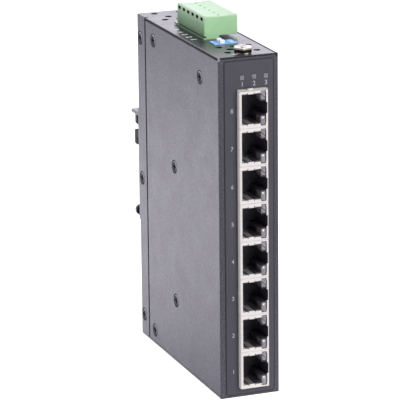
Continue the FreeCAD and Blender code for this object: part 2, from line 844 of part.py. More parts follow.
def make_terminal_plug():
    """Green plug: a tongue inside the header, a skirt over its front and a wire chamber over the panel."""
    y0, y1 = terminal_centre - terminal_half, terminal_centre + terminal_half
    slide = plug_tongue_clearance
    tongue_left, tongue_right = board_face + header_wall + slide, header_right - header_wall - slide
    tongue_y0, tongue_y1 = y0 + header_wall + slide, y1 - header_wall - slide
    floor = header_bottom + header_floor + plug_bottom_gap
    body = prism_y(plug_outline(), y0, y1)
    for end0, end1, end_top in ((y0 - overcut, tongue_y0, z_top + slide),
                                (tongue_y1, y1 + overcut, header_top + slide)):
        body = body.cut(block(tongue_left - overcut, tongue_right + overcut, end0, end1,
                              header_top - 2 * overcut, end_top))
    body = joined([body, block(tongue_left, tongue_right, tongue_y0, tongue_y1, floor, header_top)])
    dish_left, dish_right = plug_left + 2 * plug_chamfer, plug_right - 2 * plug_chamfer
    dish_half = (dish_right - dish_left) / 2
    dish_radius = (dish_half ** 2 + plug_hollow ** 2) / (2 * plug_hollow)
    dish_axis = plug_top + dish_radius - plug_hollow
    cuts = [rod(dish_radius, ((dish_left + dish_right) / 2, y0 - overcut, dish_axis), (0, 1, 0),
                y1 - y0 + 2 * overcut)]
    window_z = plug_top - window_drop
    screw_end = plug_right - clamp_screw_sink - clamp_screw_length
    pin_x, room = header_pin_x(), pin_size / 2 + slide
    pin_room_top = header_bottom + header_floor + pin_rise + slide
    for k in range(pole_count):
        y = pole_y(k)
        cuts.append(block(plug_left - overcut, plug_left + window_depth, y - window_width / 2,
                          y + window_width / 2, window_z - window_height / 2, window_z + window_height / 2))
        cuts.append(block(plug_right - entry_depth, plug_right + overcut, y - entry_size / 2,
                          y + entry_size / 2, entry_low, entry_low + entry_size))
        cuts.append(rod(clamp_hole_radius, (screw_end, y, clamp_screw_height), (1, 0, 0),
                        plug_right - screw_end + overcut))
        cuts.append(block(pin_x - room, pin_x + room, y - room, y + room, floor - overcut, pin_room_top))
    return body.cut(cuts)


def make_clamp_screws():
    """Slotted screws of the wire clamps, sunk in the plug's side."""
    screws = []
    head = plug_right - clamp_screw_sink
    half = clamp_slot_width / 2
    for k in range(pole_count):
        y = pole_y(k)
        screw = rod(clamp_screw_radius, (head, y, clamp_screw_height), (-1, 0, 0), clamp_screw_length)
        screws.append(screw.cut(block(head - clamp_slot_depth, head + overcut, y - clamp_hole_radius,
                                      y + clamp_hole_radius, clamp_screw_height - half,
                                      clamp_screw_height + half)))
    return group(screws)


def make_wire_clamps():
    """Plated cages that grip the wires at the bottom of the entries."""
    cages = []
    half = entry_size / 2
    near = plug_right - entry_depth
    for k in range(pole_count):
        y = pole_y(k)
        cage = block(near, near + clamp_depth, y - half, y + half, entry_low, entry_low + entry_size)
        cages.append(cage.cut(block(near - overcut, near + clamp_depth + overcut, y - half + clamp_wall,
                                    y + half - clamp_wall, entry_low + clamp_wall,
                                    entry_low + entry_size - clamp_wall)))
    return group(cages)


# ================================================================ option switch
def slider_y(k):
    """Middle of slider k along the case."""
    return dip_centre_y + (k - (dip_count - 1) / 2) * dip_pitch


def dip_pin_places():
    """Where the option switch's pins pass through the board."""
    low = dip_top - dip_height
    return [(slider_y(k), low + rise) for k in range(dip_count) for rise in (dip_pin_low, dip_pin_high)]


def make_dip_body():
    """Blue switch body: its top lies in the panel, and its foot stands on the board."""
    y0, y1 = dip_centre_y - dip_width / 2, dip_centre_y + dip_width / 2
    left, right = dip_centre_x - dip_length / 2, dip_centre_x + dip_length / 2
    body = block(left, right, y0, y1, dip_top - dip_height, dip_top)
    foot = block(board_face, left, y0, y1, dip_top - dip_height, z_top - sheet - seat_gap)
    body = joined([body, foot])
    for k in range(dip_count):
        y = slider_y(k)
        body = body.cut(block(dip_centre_x - slot_length / 2, dip_centre_x + slot_length / 2,
                              y - slot_width / 2, y + slot_width / 2, dip_top - slot_depth,
                              dip_top + overcut))
    return body


def make_dip_slider(k):
    """White slider at the left end of its slot."""
    y = slider_y(k)
    x0 = dip_centre_x - slot_length / 2 + slider_slack
    slider = block(x0, x0 + slider_length, y - slider_width / 2, y + slider_width / 2,
                   dip_top - slot_depth + slider_slack / 2, dip_top + slider_rise)
    top = [e for e in slider.Edges if abs(e.BoundBox.ZMin - (dip_top + slider_rise)) < touch]
    return slider.makeFillet(slider_edge, top)


def make_dip_pins():
    """Solder pins from the switch's foot into the board."""
    return group([rod(dip_pin_radius, (board_face, y, z), (-1, 0, 0), board_thickness + solder_tail)
                  for y, z in dip_pin_places()])


# ================================================================ earth screw
def make_earth_screw():
    """Hexagonal head with a dished top and a cross recess."""
    seat = z_top + washer_thick
    crown = seat + earth_head
    head = prism_z(hexagon(earth_x, earth_y, earth_flats, earth_turn), seat, crown)
    head = head.common(Part.makeCone(earth_crown_radius + earth_head, earth_crown_radius, earth_head,
                                     Vector(earth_x, earth_y, seat), Vector(0, 0, 1)))
    dish = Part.makeCone(earth_dish_radius - earth_dish_slope, earth_dish_radius, earth_dish_depth,
                         Vector(earth_x, earth_y, crown - earth_dish_depth), Vector(0, 0, 1))
    half, thin = recess_span / 2, recess_width / 2
    low = crown - earth_dish_depth - recess_depth
    cross = block(earth_x - half, earth_x + half, earth_y - thin, earth_y + thin, low, crown)
    cross = cross.fuse(block(earth_x - thin, earth_x + thin, earth_y - half, earth_y + half, low, crown))
    shank = rod(earth_radius, (earth_x, earth_y, seat), (0, 0, -1), earth_length)
    return joined([head.cut(dish).cut(cross), shank])


def make_earth_washer():
    """Flat washer under the earth screw's head."""
    ring = rod(washer_radius, (earth_x, earth_y, z_top), (0, 0, 1), washer_thick)
    return ring.cut(rod(earth_radius + countersink_margin, (earth_x, earth_y, z_top - overcut), (0, 0, 1),
                        washer_thick + 2 * overcut))


def make_earth_nut():
    """Round press nut under the top panel."""
    low = z_top - sheet - nut_height
    ring = rod(nut_radius, (earth_x, earth_y, low), (0, 0, 1), nut_height)
    return ring.cut(rod(earth_radius + thread_clearance, (earth_x, earth_y, low - overcut), (0, 0, 1),
                        nut_height + 2 * overcut))


# ================================================================ rail clip
def make_hook():
    """Arm and hanging lip that hook over the rail."""
    half = case_width / 2 - clip_inset
    rear = plate_rear + hook_reach
    arm = block(-half, half, plate_rear, rear, hook_top - hook_thick, hook_top)
    bend = edges_along(arm, Vector(1, 0, 0), lambda p: p.y > rear - clip_edge and p.z > hook_top - clip_edge)
    arm = arm.makeFillet(clip_round, bend)
    lip_half = half - hook_lip_inset
    corner = lip_half - hook_thick
    shoulder = hook_lip_bottom + hook_thick
    lip_top = hook_top - clip_round
    lip = prism_y([(-lip_half, lip_top), (-lip_half, shoulder), (-corner, hook_lip_bottom),
                   (corner, hook_lip_bottom), (lip_half, shoulder), (lip_half, lip_top)],
                  rear - hook_thick, rear)
    return [arm, lip]


def make_foot():
    """Foot and upturned toe that take the rail's lower edge."""
    half = case_width / 2 - clip_inset
    rear = plate_rear + low_hook_reach
    top = clip_bottom + hook_thick + low_hook_lip
    foot = block(-half, half, plate_rear, rear, clip_bottom, clip_bottom + hook_thick)
    heel = edges_along(foot, Vector(1, 0, 0), lambda p: p.y > rear - clip_edge and
                       p.z < clip_bottom + clip_edge)
    foot = foot.makeFillet(clip_round, heel)
    toe = block(-half, half, rear - hook_thick, rear, clip_bottom, top)
    tip = edges_along(toe, Vector(1, 0, 0), lambda p: p.z > top - clip_edge or p.y > rear - clip_edge)
    toe = toe.makeFillet(clip_round, tip)
    outline = block(-half, half, plate_rear, rear + overcut, clip_bottom, top)
    outline = outline.makeFillet(low_hook_round, edges_along(outline, Vector(0, 1, 0), lambda p: True))
    return [joined([foot, toe]).common(outline)]


def make_rail_clip():
    """Bracket on the back: a plate, a deep hook at the top and a J hook at the bottom."""
    half = case_width / 2 - clip_inset
    plate = block(-half, half, y_back, plate_rear, clip_bottom, clip_top)
    clip = joined([plate] + make_hook() + make_foot())
    hole = screw_radius + countersink_margin
    for x, z in clip_screw_places():
        clip = clip.cut(Part.makeCone(screw_head_radius + countersink_margin, hole,
                                      screw_head_height + countersink_margin,
                                      Vector(x, plate_rear, z), Vector(0, -1, 0)))
        clip = clip.cut(rod(hole, (x, y_back - overcut, z), (0, 1, 0), clip_plate + overcut))
    return clip.cut(rod(stop_pin_radius, (0, y_back - overcut, stop_pin_height), (0, 1, 0),
                        clip_plate + 2 * overcut))


def make_clip_screws():
    """Countersunk screws from the clip into the nuts inside the back panel."""
    screws = []
    half, thin = recess_span / 2, recess_width / 2
    for x, z in clip_screw_places():
        head = Part.makeCone(screw_head_radius, screw_radius, screw_head_height, Vector(x, plate_rear, z),
                             Vector(0, -1, 0))
        shank = rod(screw_radius, (x, plate_rear, z), (0, -1, 0), clip_screw_length)
        cross = block(x - half, x + half, plate_rear - recess_depth, plate_rear, z - thin, z + thin)
        cross = cross.fuse(block(x - thin, x + thin, plate_rear - recess_depth, plate_rear,
                                 z - half, z + half))
        screws.append(joined([head, shank]).cut(cross))
    return group(screws)


def make_clip_nuts():
    """Press nuts on the inner face of the back panel."""
    nuts = []
    for x, z in clip_screw_places():
        ring = rod(clip_nut_radius, (x, inside_back, z), (0, -1, 0), clip_nut_height)
        nuts.append(ring.cut(rod(screw_radius + thread_clearance, (x, y_back, z), (0, -1, 0),
                                 sheet + clip_nut_height + overcut)))
    return group(nuts)


def make_rail_catch():
    """Sprung jaw that hangs over the rail's upper edge and slides up to let the rail in."""
    half = case_width / 2 - clip_inset - catch_inset
    near = plate_rear + catch_gap
    far = near + catch_depth
    jaw = block(-half, half, near, far, catch_low, catch_high)
    jaw = jaw.makeFillet(catch_edge, edges_along(jaw, Vector(1, 0, 0), lambda p: p.y > far - catch_gap))
    jaw = jaw.cut(block(-half - overcut, half + overcut, near - overcut, plate_rear + rail_slot,
                        catch_low - overcut, rail_top + catch_gap))
    tongue = block(-catch_tongue_half, catch_tongue_half, near, far, catch_high - overcut, catch_tongue_top)
    jaw = joined([jaw, tongue])
    slot_half = stop_pin_radius + stop_pin_clearance
    slot_low = stop_pin_height - catch_travel
    slot = block(-slot_half, slot_half, near - overcut, far + overcut, slot_low, stop_pin_height)
    ends = [rod(slot_half, (0, near - overcut, z), (0, 1, 0), catch_depth + 2 * overcut)
            for z in (slot_low, stop_pin_height)]
    return jaw.cut([slot] + ends)


def make_stop_pin():
    """Pin pressed in the clip's plate that ends the catch's travel."""
    return rod(stop_pin_radius, (0, y_back, stop_pin_height), (0, 1, 0), clip_plate + catch_depth)


def make_catch_springs():
    """Two compression springs between the hook's arm and the catch."""
    springs = []
    low, high = catch_high + spring_seat, hook_top - hook_thick - spring_seat
    y = plate_rear + catch_gap + catch_depth / 2
    for x in (-spring_x, spring_x):
        path = Part.makeHelix((high - low) / spring_turns, high - low, spring_radius)
        profile = Part.Wire(Part.Circle(Vector(spring_radius, 0, 0), Vector(0, 1, 0), spring_wire).toShape())
        coil = Part.Wire(path).makePipeShell([profile], True, True)
        coil.translate(Vector(x, y, low))
        springs.append(coil)
    return group(springs)


# ================================================================ parts on the board
def on_board(y, z, size_y, size_z, height):
    """Box that stands on the component side of the board, centred at (y, z)."""
    return block(board_face, board_face + height, y - size_y / 2, y + size_y / 2,
                 z - size_z / 2, z + size_z / 2)


def make_port_transformers():
    """One isolating transformer behind each port."""
    return group([on_board(transformer_row, port_height(k), transformer_width, transformer_length,
                           transformer_height) for k in range(port_count)])


def make_switch_chip():
    """The switch's own chip, under the heat sink."""
    return on_board(chip_y, chip_z, chip_size, chip_size, chip_height)


def make_heat_sink():
    """Finned aluminium block on the switch chip."""
    low = board_face + chip_height
    y0, y1 = chip_y - heatsink_size / 2, chip_y + heatsink_size / 2
    z0, z1 = chip_z - heatsink_size / 2, chip_z + heatsink_size / 2
    parts = [block(low, low + heatsink_base, y0, y1, z0, z1)]
    step = (heatsink_size - heatsink_fin) / (heatsink_fin_count - 1)
    for i in range(heatsink_fin_count):
        y = y0 + i * step
        parts.append(block(low, low + heatsink_height, y, y + heatsink_fin, z0, z1))
    return joined(parts)


def make_capacitors():
    """Round capacitors in a column near the board's rear edge."""
    y, z = board_rear - capacitor_setback, z_top - capacitor_drop
    return group([rod(capacitor_radius, (board_face, y, z - k * capacitor_pitch), (1, 0, 0),
                      capacitor_height) for k in range(capacitor_count)])


def make_power_inductor():
    """Square choke of the power converter."""
    return on_board(board_rear - inductor_setback, z_top - inductor_drop, inductor_size, inductor_size,
                    inductor_height)


def make_fault_relay():
    """Relay behind the power terminal."""
    return on_board(board_rear - relay_setback, z_top - relay_drop, relay_width, relay_length,
                    relay_height)


def make_fuse():
    """Fuse below the power terminal."""
    return on_board(terminal_centre, header_bottom - fuse_drop, fuse_length, fuse_width, fuse_width)


def make_crystal():
    """Clock crystal below the chip."""
    return on_board(chip_y + neighbour_y, chip_z - neighbour_z, crystal_width, crystal_length,
                    crystal_height)


def make_memory_chip():
    """Small memory above the crystal."""
    return on_board(chip_y + neighbour_y, chip_z + neighbour_z, memory_size, memory_size, memory_height)


# ================================================================ export
save("chassis", make_chassis())
save("cover", make_cover())
save("front_label", make_front_label())
save("cover_screws", make_cover_screws())
save("rear_flange_screws", make_strip_screws())
save("circuit_board", make_board())
save("board_standoffs", make_standoffs())
save("board_screws", make_board_screws())
for number in range(port_count):
    save("port_shield_%d" % (number + 1), make_port_shield(number))
    save("port_insert_%d" % (number + 1), make_port_insert(number))
save("port_contacts", make_port_contacts())
save("port_lamps", make_port_lamps())
save("status_light_guide", make_status_guide())
save("status_leds", make_status_leds())
save("terminal_header", make_terminal_header())
save("header_pins", make_header_pins())
save("terminal_plug", make_terminal_plug())
save("clamp_screws", make_clamp_screws())
save("wire_clamps", make_wire_clamps())
save("dip_switch_body", make_dip_body())
for number in range(dip_count):
    save("dip_slider_%d" % (number + 1), make_dip_slider(number))
save("dip_switch_pins", make_dip_pins())
save("earth_screw", make_earth_screw())
save("earth_washer", make_earth_washer())
save("earth_nut", make_earth_nut())
save("rail_clip", make_rail_clip())
save("clip_screws", make_clip_screws())
save("clip_nuts", make_clip_nuts())
save("rail_catch", make_rail_catch())
save("stop_pin", make_stop_pin())
save("catch_springs", make_catch_springs())
save("port_transformers", make_port_transformers())
save("switch_chip", make_switch_chip())
save("heat_sink", make_heat_sink())
save("capacitors", make_capacitors())
save("power_inductor", make_power_inductor())
save("fault_relay", make_fault_relay())
save("fuse", make_fuse())
save("crystal", make_crystal())
save("memory_chip", make_memory_chip())
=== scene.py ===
# %% [markdown]
# # A slim network switch for a cabinet rail
# The folded steel case, the column of eight jacks, the plug-in power terminal and the rail clip all come
# from the CAD frame, where they are already at their real size. This lesson dresses them: satin paint,
# tinned sheet, moulded plastic, printed marks, lamp lenses, light and a camera. It could be one long
# script, but each finish is easier to learn in a cell of its own, so that is how it is laid out. The first
# cell loads the frame and measures it, before anything is added.

# %% Load the frame
import math
import bmesh
import bpy
import numpy as np
from mathutils import Matrix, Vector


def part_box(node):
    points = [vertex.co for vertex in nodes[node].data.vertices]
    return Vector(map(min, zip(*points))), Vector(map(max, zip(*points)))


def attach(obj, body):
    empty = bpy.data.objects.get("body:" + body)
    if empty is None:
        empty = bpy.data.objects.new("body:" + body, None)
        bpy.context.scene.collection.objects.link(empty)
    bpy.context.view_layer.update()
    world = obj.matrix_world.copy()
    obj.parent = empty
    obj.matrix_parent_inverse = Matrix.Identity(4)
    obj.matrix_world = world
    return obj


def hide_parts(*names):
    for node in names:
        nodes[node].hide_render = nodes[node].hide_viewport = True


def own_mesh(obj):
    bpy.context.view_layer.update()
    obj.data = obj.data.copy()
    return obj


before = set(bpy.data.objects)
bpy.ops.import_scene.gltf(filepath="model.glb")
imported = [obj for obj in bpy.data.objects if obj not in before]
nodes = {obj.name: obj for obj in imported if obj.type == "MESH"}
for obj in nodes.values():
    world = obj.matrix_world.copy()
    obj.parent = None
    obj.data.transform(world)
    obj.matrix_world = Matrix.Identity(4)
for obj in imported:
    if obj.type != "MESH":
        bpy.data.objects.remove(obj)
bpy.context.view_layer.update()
MM = 0.001

# %% [markdown]
# ## Helpers for shader nodes
# A material in Blender is a small graph. Writing each link by hand hides the idea in bookkeeping, so a few
# helpers do it: one adds a node and fills its sockets, some do a little arithmetic, one starts a material
# and one starts a node group.


# %% Node helpers
def add(tree, kind, settings=None, **sockets):
    """Adds a node, sets its properties, then sets or links its inputs.

    In an input's name _ stands for a space, and i0 is the input with number 0."""
    node = tree.nodes.new(kind)
    for key, value in (settings or {}).items():
        setattr(node, key, value)
    for key, value in sockets.items():
        numbered = key[0] == "i" and key[1:].isdigit()
        socket = node.inputs[int(key[1:])] if numbered else node.inputs[key.replace("_", " ")]
        if isinstance(value, bpy.types.NodeSocket):
            tree.links.new(value, socket)
        else:
            socket.default_value = value
    return node


def math_node(tree, operation, first, second=0.0, third=0.0, clamp=False):
    """One Math node's result."""
    return add(tree, "ShaderNodeMath", {"operation": operation, "use_clamp": clamp}, i0=first, i1=second,
               i2=third).outputs[0]


def product(tree, first, *others):
    """All the values multiplied."""
    for value in others:
        first = math_node(tree, "MULTIPLY", first, value)
    return first


def largest(tree, first, *others):
    """The largest of the values."""
    for value in others:
        first = math_node(tree, "MAXIMUM", first, value)
    return first


def away_from(tree, value, middle):
    """How far a value is from a middle, either way."""
    return math_node(tree, "ABSOLUTE", math_node(tree, "SUBTRACT", value, middle))


def length_of(tree, across, up):
    """Length of the flat vector (across, up)."""
    flat = add(tree, "ShaderNodeCombineXYZ", X=across, Y=up)
    return add(tree, "ShaderNodeVectorMath", {"operation": "LENGTH"}, i0=flat.outputs[0]).outputs["Value"]


def ramp(tree, value, start, end, low=0.0, high=1.0, smooth=False):
    """Carries start..end to low..high, and holds the ends."""
    kind = {"interpolation_type": "SMOOTHSTEP"} if smooth else {}
    return add(tree, "ShaderNodeMapRange", kind, Value=value, From_Min=start, From_Max=end, To_Min=low,
               To_Max=high).outputs[0]


def blend_colour(tree, amount, first, second):
    """Mix of two colours, each a socket or a plain (r, g, b). Inputs 6 and 7 are the Mix node's colours."""
    mix = add(tree, "ShaderNodeMix", {"data_type": "RGBA"}, i0=amount)
    for slot, colour in ((6, first), (7, second)):
        if isinstance(colour, bpy.types.NodeSocket):
            tree.links.new(colour, mix.inputs[slot])
        else:
            mix.inputs[slot].default_value = tuple(colour) + (1.0,)
    return mix.outputs[2]


def new_material(name):
    """A material with an empty tree, and its tree."""
    material = bpy.data.materials.new(name)
    material.use_nodes = True
    material.node_tree.nodes.clear()
    return material, material.node_tree


def finish_material(tree, **sockets):
    """Puts a Principled shader with these sockets on the material's output."""
    shader = add(tree, "ShaderNodeBsdfPrincipled", **sockets)
    add(tree, "ShaderNodeOutputMaterial", Surface=shader.outputs["BSDF"])


def new_group(name, inputs, outputs):
    """A shader node group with float inputs (name, default) and typed outputs (name, kind)."""
    tree = bpy.data.node_groups.new(name, "ShaderNodeTree")
    for title, default in inputs:
        socket = tree.interface.new_socket(title, in_out="INPUT", socket_type="NodeSocketFloat")
        socket.default_value = default
    for title, kind in outputs:
        tree.interface.new_socket(title, in_out="OUTPUT", socket_type="NodeSocket" + kind)
    return tree, tree.nodes.new("NodeGroupInput").outputs, tree.nodes.new("NodeGroupOutput").inputs


def place(tree):
    """The Object coordinates, which every pattern here reads."""
    return tree.nodes.new("ShaderNodeTexCoord").outputs["Object"]


def axes(tree):
    """The Object coordinates as three values."""
    return list(add(tree, "ShaderNodeSeparateXYZ", Vector=place(tree)).outputs)


print("helpers ready")

# %% [markdown]
# ## Grain, scuffs and rounded edges, once for all finishes
# Powder coat, moulded plastic and printed film all have a fine skin, most metal has faint streaks, and no
# real edge is as sharp as a CAD edge. Each effect is one node group, and each material places it with its
# own values. The edge could be a Bevel modifier on the mesh, but the Bevel shader node rounds only the
# light on it, so the CAD solids stay as they are.


# %% Shared groups
def build_grain():
    """Height = fine noise; Cloud = broad noise about 0.5; Speck = fine noise stretched to 0..1."""
    tree, given, out = new_group("skin_grain", [("Fine", 2000.0), ("Broad", 100.0), ("Contrast", 2.0)],
                                 [("Height", "Float"), ("Cloud", "Float"), ("Speck", "Float")])
    spot = place(tree)
    fine = add(tree, "ShaderNodeTexNoise", Vector=spot, Scale=given["Fine"], Detail=3.0, Roughness=0.6)
    broad = add(tree, "ShaderNodeTexNoise", Vector=spot, Scale=given["Broad"], Detail=4.0, Roughness=0.55)
    centred = math_node(tree, "SUBTRACT", broad.outputs["Fac"], 0.5)
    tree.links.new(fine.outputs["Fac"], out["Height"])
    tree.links.new(math_node(tree, "MULTIPLY_ADD", centred, given["Contrast"], 0.5, clamp=True), out["Cloud"])
    tree.links.new(ramp(tree, fine.outputs["Fac"], 0.36, 0.64), out["Speck"])
    return tree


def build_scuffs():
    """Scratch = thin short streaks, where a stretched noise passes close to its middle value."""
    tree, given, out = new_group("fine_scuffs", [("Amount", 0.5)], [("Scratch", "Float")])
    stretched = add(tree, "ShaderNodeMapping", Vector=place(tree), Rotation=(0.5, 0.3, 0.8),
                    Scale=(900.0, 90.0, 240.0))
    noise = add(tree, "ShaderNodeTexNoise", Vector=stretched.outputs[0], Scale=1.0, Detail=2.0)
    line = ramp(tree, away_from(tree, noise.outputs["Fac"], 0.5), 0.012, 0.0)
    rare = add(tree, "ShaderNodeTexNoise", Vector=place(tree), Scale=120.0, Detail=1.0)
    patch = ramp(tree, rare.outputs["Fac"], 0.5, 0.65)
    tree.links.new(product(tree, line, patch, given["Amount"]), out["Scratch"])
    return tree


def build_edge():
    """Rounded = normal turned over a radius; Rub = how far that turn is from the flat face's own normal."""
    tree, given, out = new_group("rounded_edge", [("Radius", 0.0002)],
                                 [("Rounded", "Vector"), ("EdgeTurn", "Float")])
    bevel = add(tree, "ShaderNodeBevel", {"samples": 4}, Radius=given["Radius"])
    flat = tree.nodes.new("ShaderNodeNewGeometry").outputs["True Normal"]
    dot = add(tree, "ShaderNodeVectorMath", {"operation": "DOT_PRODUCT"}, i0=bevel.outputs[0], i1=flat)
    tree.links.new(bevel.outputs[0], out["Rounded"])
    tree.links.new(ramp(tree, dot.outputs["Value"], 0.97, 0.72), out["EdgeTurn"])
    return tree


GRAIN, SCUFFS, EDGE = build_grain(), build_scuffs(), build_edge()
print("groups:", GRAIN.name, SCUFFS.name, EDGE.name)

# %% [markdown]
# ## One recipe for coated, moulded and plated surfaces
# Paint, film, plastic and plating differ in colour, gloss and grain, not in kind. So one function builds
# them all: the cloud shifts the colour a little, the speck can make single grains more metallic, the fine
# noise lifts a Bump node, the rounded edge lets corners catch the light, and where asked a painted
# highlight lightens the edges. A finish that needs a mark of its own, such as a painted shadow along a rim,
# passes an extra function that changes the colour and the roughness.


# %% Finish recipe
def finish(name, colour, roughness, fine=2.0, broad=0.08, tint=0.1, bump=0.02, edge=0.2, metallic=0.0,
           grit=0.0, scuff=0.0, edge_highlight=0.0, edge_highlight_colour=(0.6, 0.6, 0.6), overlay=None, **sockets):
    """Colour x (1 -/+ tint) by the cloud, with painted highlights on the edges, an overlay, scuffs and grit
    where asked for.

    Bump and edge radius are in mm, fine and broad in features per mm. Other sockets go to the shader."""
    material, tree = new_material(name)
    skin = add(tree, "ShaderNodeGroup", {"node_tree": GRAIN}, Fine=fine / MM, Broad=broad / MM, Contrast=3.0)
    edges = add(tree, "ShaderNodeGroup", {"node_tree": EDGE}, Radius=edge * MM)
    tone = blend_colour(tree, skin.outputs["Cloud"], [c * (1 - tint) for c in colour],
                        [min(1.0, c * (1 + tint)) for c in colour])
    rough = ramp(tree, skin.outputs["Cloud"], 0.0, 1.0, roughness * 0.88, min(1.0, roughness * 1.12))
    # Painted highlight: the rounded edges are lightened toward a pale colour, as if they caught the light.
    if edge_highlight:
        tone = blend_colour(tree, product(tree, edges.outputs["EdgeTurn"], edge_highlight), tone, edge_highlight_colour)
    if overlay:
        tone, rough = overlay(tree, tone, rough)
    if scuff:
        marks = add(tree, "ShaderNodeGroup", {"node_tree": SCUFFS}, Amount=scuff)
        rough = math_node(tree, "ADD", rough, marks.outputs["Scratch"], clamp=True)
    if grit:
        metallic = ramp(tree, skin.outputs["Speck"], 0.0, 1.0, metallic, metallic + grit)
    relief = add(tree, "ShaderNodeBump", Height=skin.outputs["Height"], Distance=bump * MM, Strength=1.0,
                 Normal=edges.outputs["Rounded"])
    finish_material(tree, Base_Color=tone, Roughness=rough, Metallic=metallic, Normal=relief.outputs[0],
                    **sockets)
    return material


def dress(material, *names):
    """Gives a material to CAD nodes by assigning their slots."""
    for name in names:
        mesh = nodes[name].data
        if not mesh.materials:
            mesh.materials.append(material)
        for i in range(len(mesh.materials)):
            mesh.materials[i] = material
    print(material.name, "->", len(names), "nodes")


print("finish recipe ready")

# %% [markdown]
# ## Marks that follow the object
# A painted shadow along a gap or a painted highlight on a wall needs a mask in the right place. It could
# be painted or unwrapped, but a box in Object coordinates is simpler, and it moves with the CAD, because its
# corners are worked out from the frame's own boxes and meshes.


# %% Places on the object
def corners(name):
    """Lowest and highest corner of a CAD node."""
    low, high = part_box(name)
    return np.array(low, float), np.array(high, float)


def mesh_points(name):
    """All points of a CAD node's mesh, one row each."""
    vertices = nodes[name].data.vertices
    points = np.empty(len(vertices) * 3)
    vertices.foreach_get("co", points)
    return points.reshape(-1, 3)


def inside_box(tree, low, high, soft):
    """Mask: one inside a box of Object coordinates, falling to zero over soft outside it."""
    low, high = np.array(low, float), np.array(high, float)
    middle, half = (low + high) / 2, (high - low) / 2
    away = add(tree, "ShaderNodeVectorMath", {"operation": "SUBTRACT"}, i0=place(tree), i1=tuple(middle))
    size = add(tree, "ShaderNodeVectorMath", {"operation": "ABSOLUTE"}, i0=away.outputs[0])
    past = add(tree, "ShaderNodeVectorMath", {"operation": "SUBTRACT"}, i0=size.outputs[0], i1=tuple(half))
    return ramp(tree, largest(tree, *add(tree, "ShaderNodeSeparateXYZ", Vector=past.outputs[0]).outputs),
                soft, 0.0)


SAME_FACE = 0.05 * MM
cover_low, cover_high = corners("cover")


def left_face(name):
    """The points of a node that lie in the case's left face."""
    points = mesh_points(name)
    return points[points[:, 0] < cover_low[0] + SAME_FACE]


seam_front = left_face("cover")[:, 1].max()
flange_y = left_face("chassis")[:, 1]
seam_rear = flange_y[flange_y > seam_front].min()
print("open seam on the left side, mm:", round(seam_front / MM, 2), "to", round(seam_rear / MM, 2))

# %% [markdown]
# ## The case paint
# The case is folded steel with a dark grey satin coat. Seen at a shallow angle such a coat turns almost
# into a mirror, which is why the top and the side look pale although the paint is dark. Two shaders could
# be mixed by angle, but the Principled shader's own Fresnel term does that once its IOR is high enough.
# Painted shadow darkens the gaps along the sheet's edges nearly to black, painted highlights line the
# edges and glint at one corner, and the front face is painted a little paler, as if lit.

# %% Case paint
# Nearly black colour for painted shadow in gaps and recesses.
SHADOW_BLACK = (0.004, 0.004, 0.005)
FRONT_PAINTED_LIGHT = (0.034, 0.033, 0.047)
CORNER_GLINT = (0.55, 0.55, 0.58)
TOP_RIGHT_LINE = 1.2 * MM
TOP_FRONT_LINE = 0.6 * MM
SIDE_LINE_TOP, SIDE_LINE_FOOT = 0.25 * MM, 1.15 * MM
NOTCH_DEEP, NOTCH_WIDE = 1.6 * MM, 1.5 * MM
CORNER_WIDE, CORNER_TALL, CORNER_SOFT = 0.25 * MM, 0.9 * MM, 0.7 * MM
SKIN = 0.15 * MM


def cut_edges(tree, tone, rough):
    """Paints shadow into the gaps along the sheet's edges, paints the front face a little paler as lit, and
    paints a glint at one corner.

    The painted shadow bands run along the top's right edge, along its front edge, along the left side close
    under the top, and through the notch above the seam."""
    (x0, y0, z0), (x1, y1, z1) = cover_low, cover_high
    # The front face is painted a little paler, standing in for the light it gets.
    front = inside_box(tree, (x0 - MM, y0 - MM, z0 - MM), (x1 + MM, y0 + 2 * SKIN, z1 + MM), 0.2 * MM)
    tone = blend_colour(tree, front, tone, FRONT_PAINTED_LIGHT)
    bands = (((x1 - TOP_RIGHT_LINE, y0, z1 - TOP_RIGHT_LINE), (x1 + MM, y1, z1 + MM)),
             ((x0 - MM, y0 - MM, z1 - TOP_FRONT_LINE), (x1, y0 + TOP_FRONT_LINE, z1 + MM)),
             ((x0 - MM, y0, z1 - SIDE_LINE_FOOT), (x0 + SKIN, seam_front, z1 - SIDE_LINE_TOP)),
             ((x0 - MM, seam_front, z1 - NOTCH_DEEP), (x0 + NOTCH_WIDE, seam_rear, z1 + MM)))
    # Painted shadow in the gaps, nearly black and matt.
    gap_shade = largest(tree, *[inside_box(tree, near, far, 0.12 * MM) for near, far in bands])
    tone = blend_colour(tree, gap_shade, tone, SHADOW_BLACK)
    # A painted glint at the front-left top corner.
    corner = inside_box(tree, (x0 - MM, y0 - MM, z1 - CORNER_TALL),
                        (x0 + CORNER_WIDE, y0 + CORNER_WIDE, z1 + MM), CORNER_SOFT)
    tone = blend_colour(tree, product(tree, corner, 0.55), tone, CORNER_GLINT)
    return tone, ramp(tree, math_node(tree, "SUBTRACT", gap_shade, corner), 0.0, 1.0, rough, 0.9)


# The edge settings paint highlights along the case's rounded edges.
PAINT = finish("satin_coat", (0.022, 0.020, 0.027), 0.30, fine=1.2, broad=0.10, tint=0.15, bump=0.030,
               edge=0.35, grit=0.5, edge_highlight=0.5, edge_highlight_colour=(0.20, 0.195, 0.215), overlay=cut_edges, IOR=1.75)
dress(PAINT, "chassis", "cover")

# %% [markdown]
# ## Blackened screws
# Flush screws with a black zinc finish hold the left side. Their heads are in the CAD, but such a small
# black cone in a dark wall shows mostly as a ring. Lamps aimed at each screw could bring that out. Here the
# light is painted instead: a mask per screw paints shade in the rim and the cross and a highlight as a pale
# crescent, round middles that are measured on the screws' own meshes.

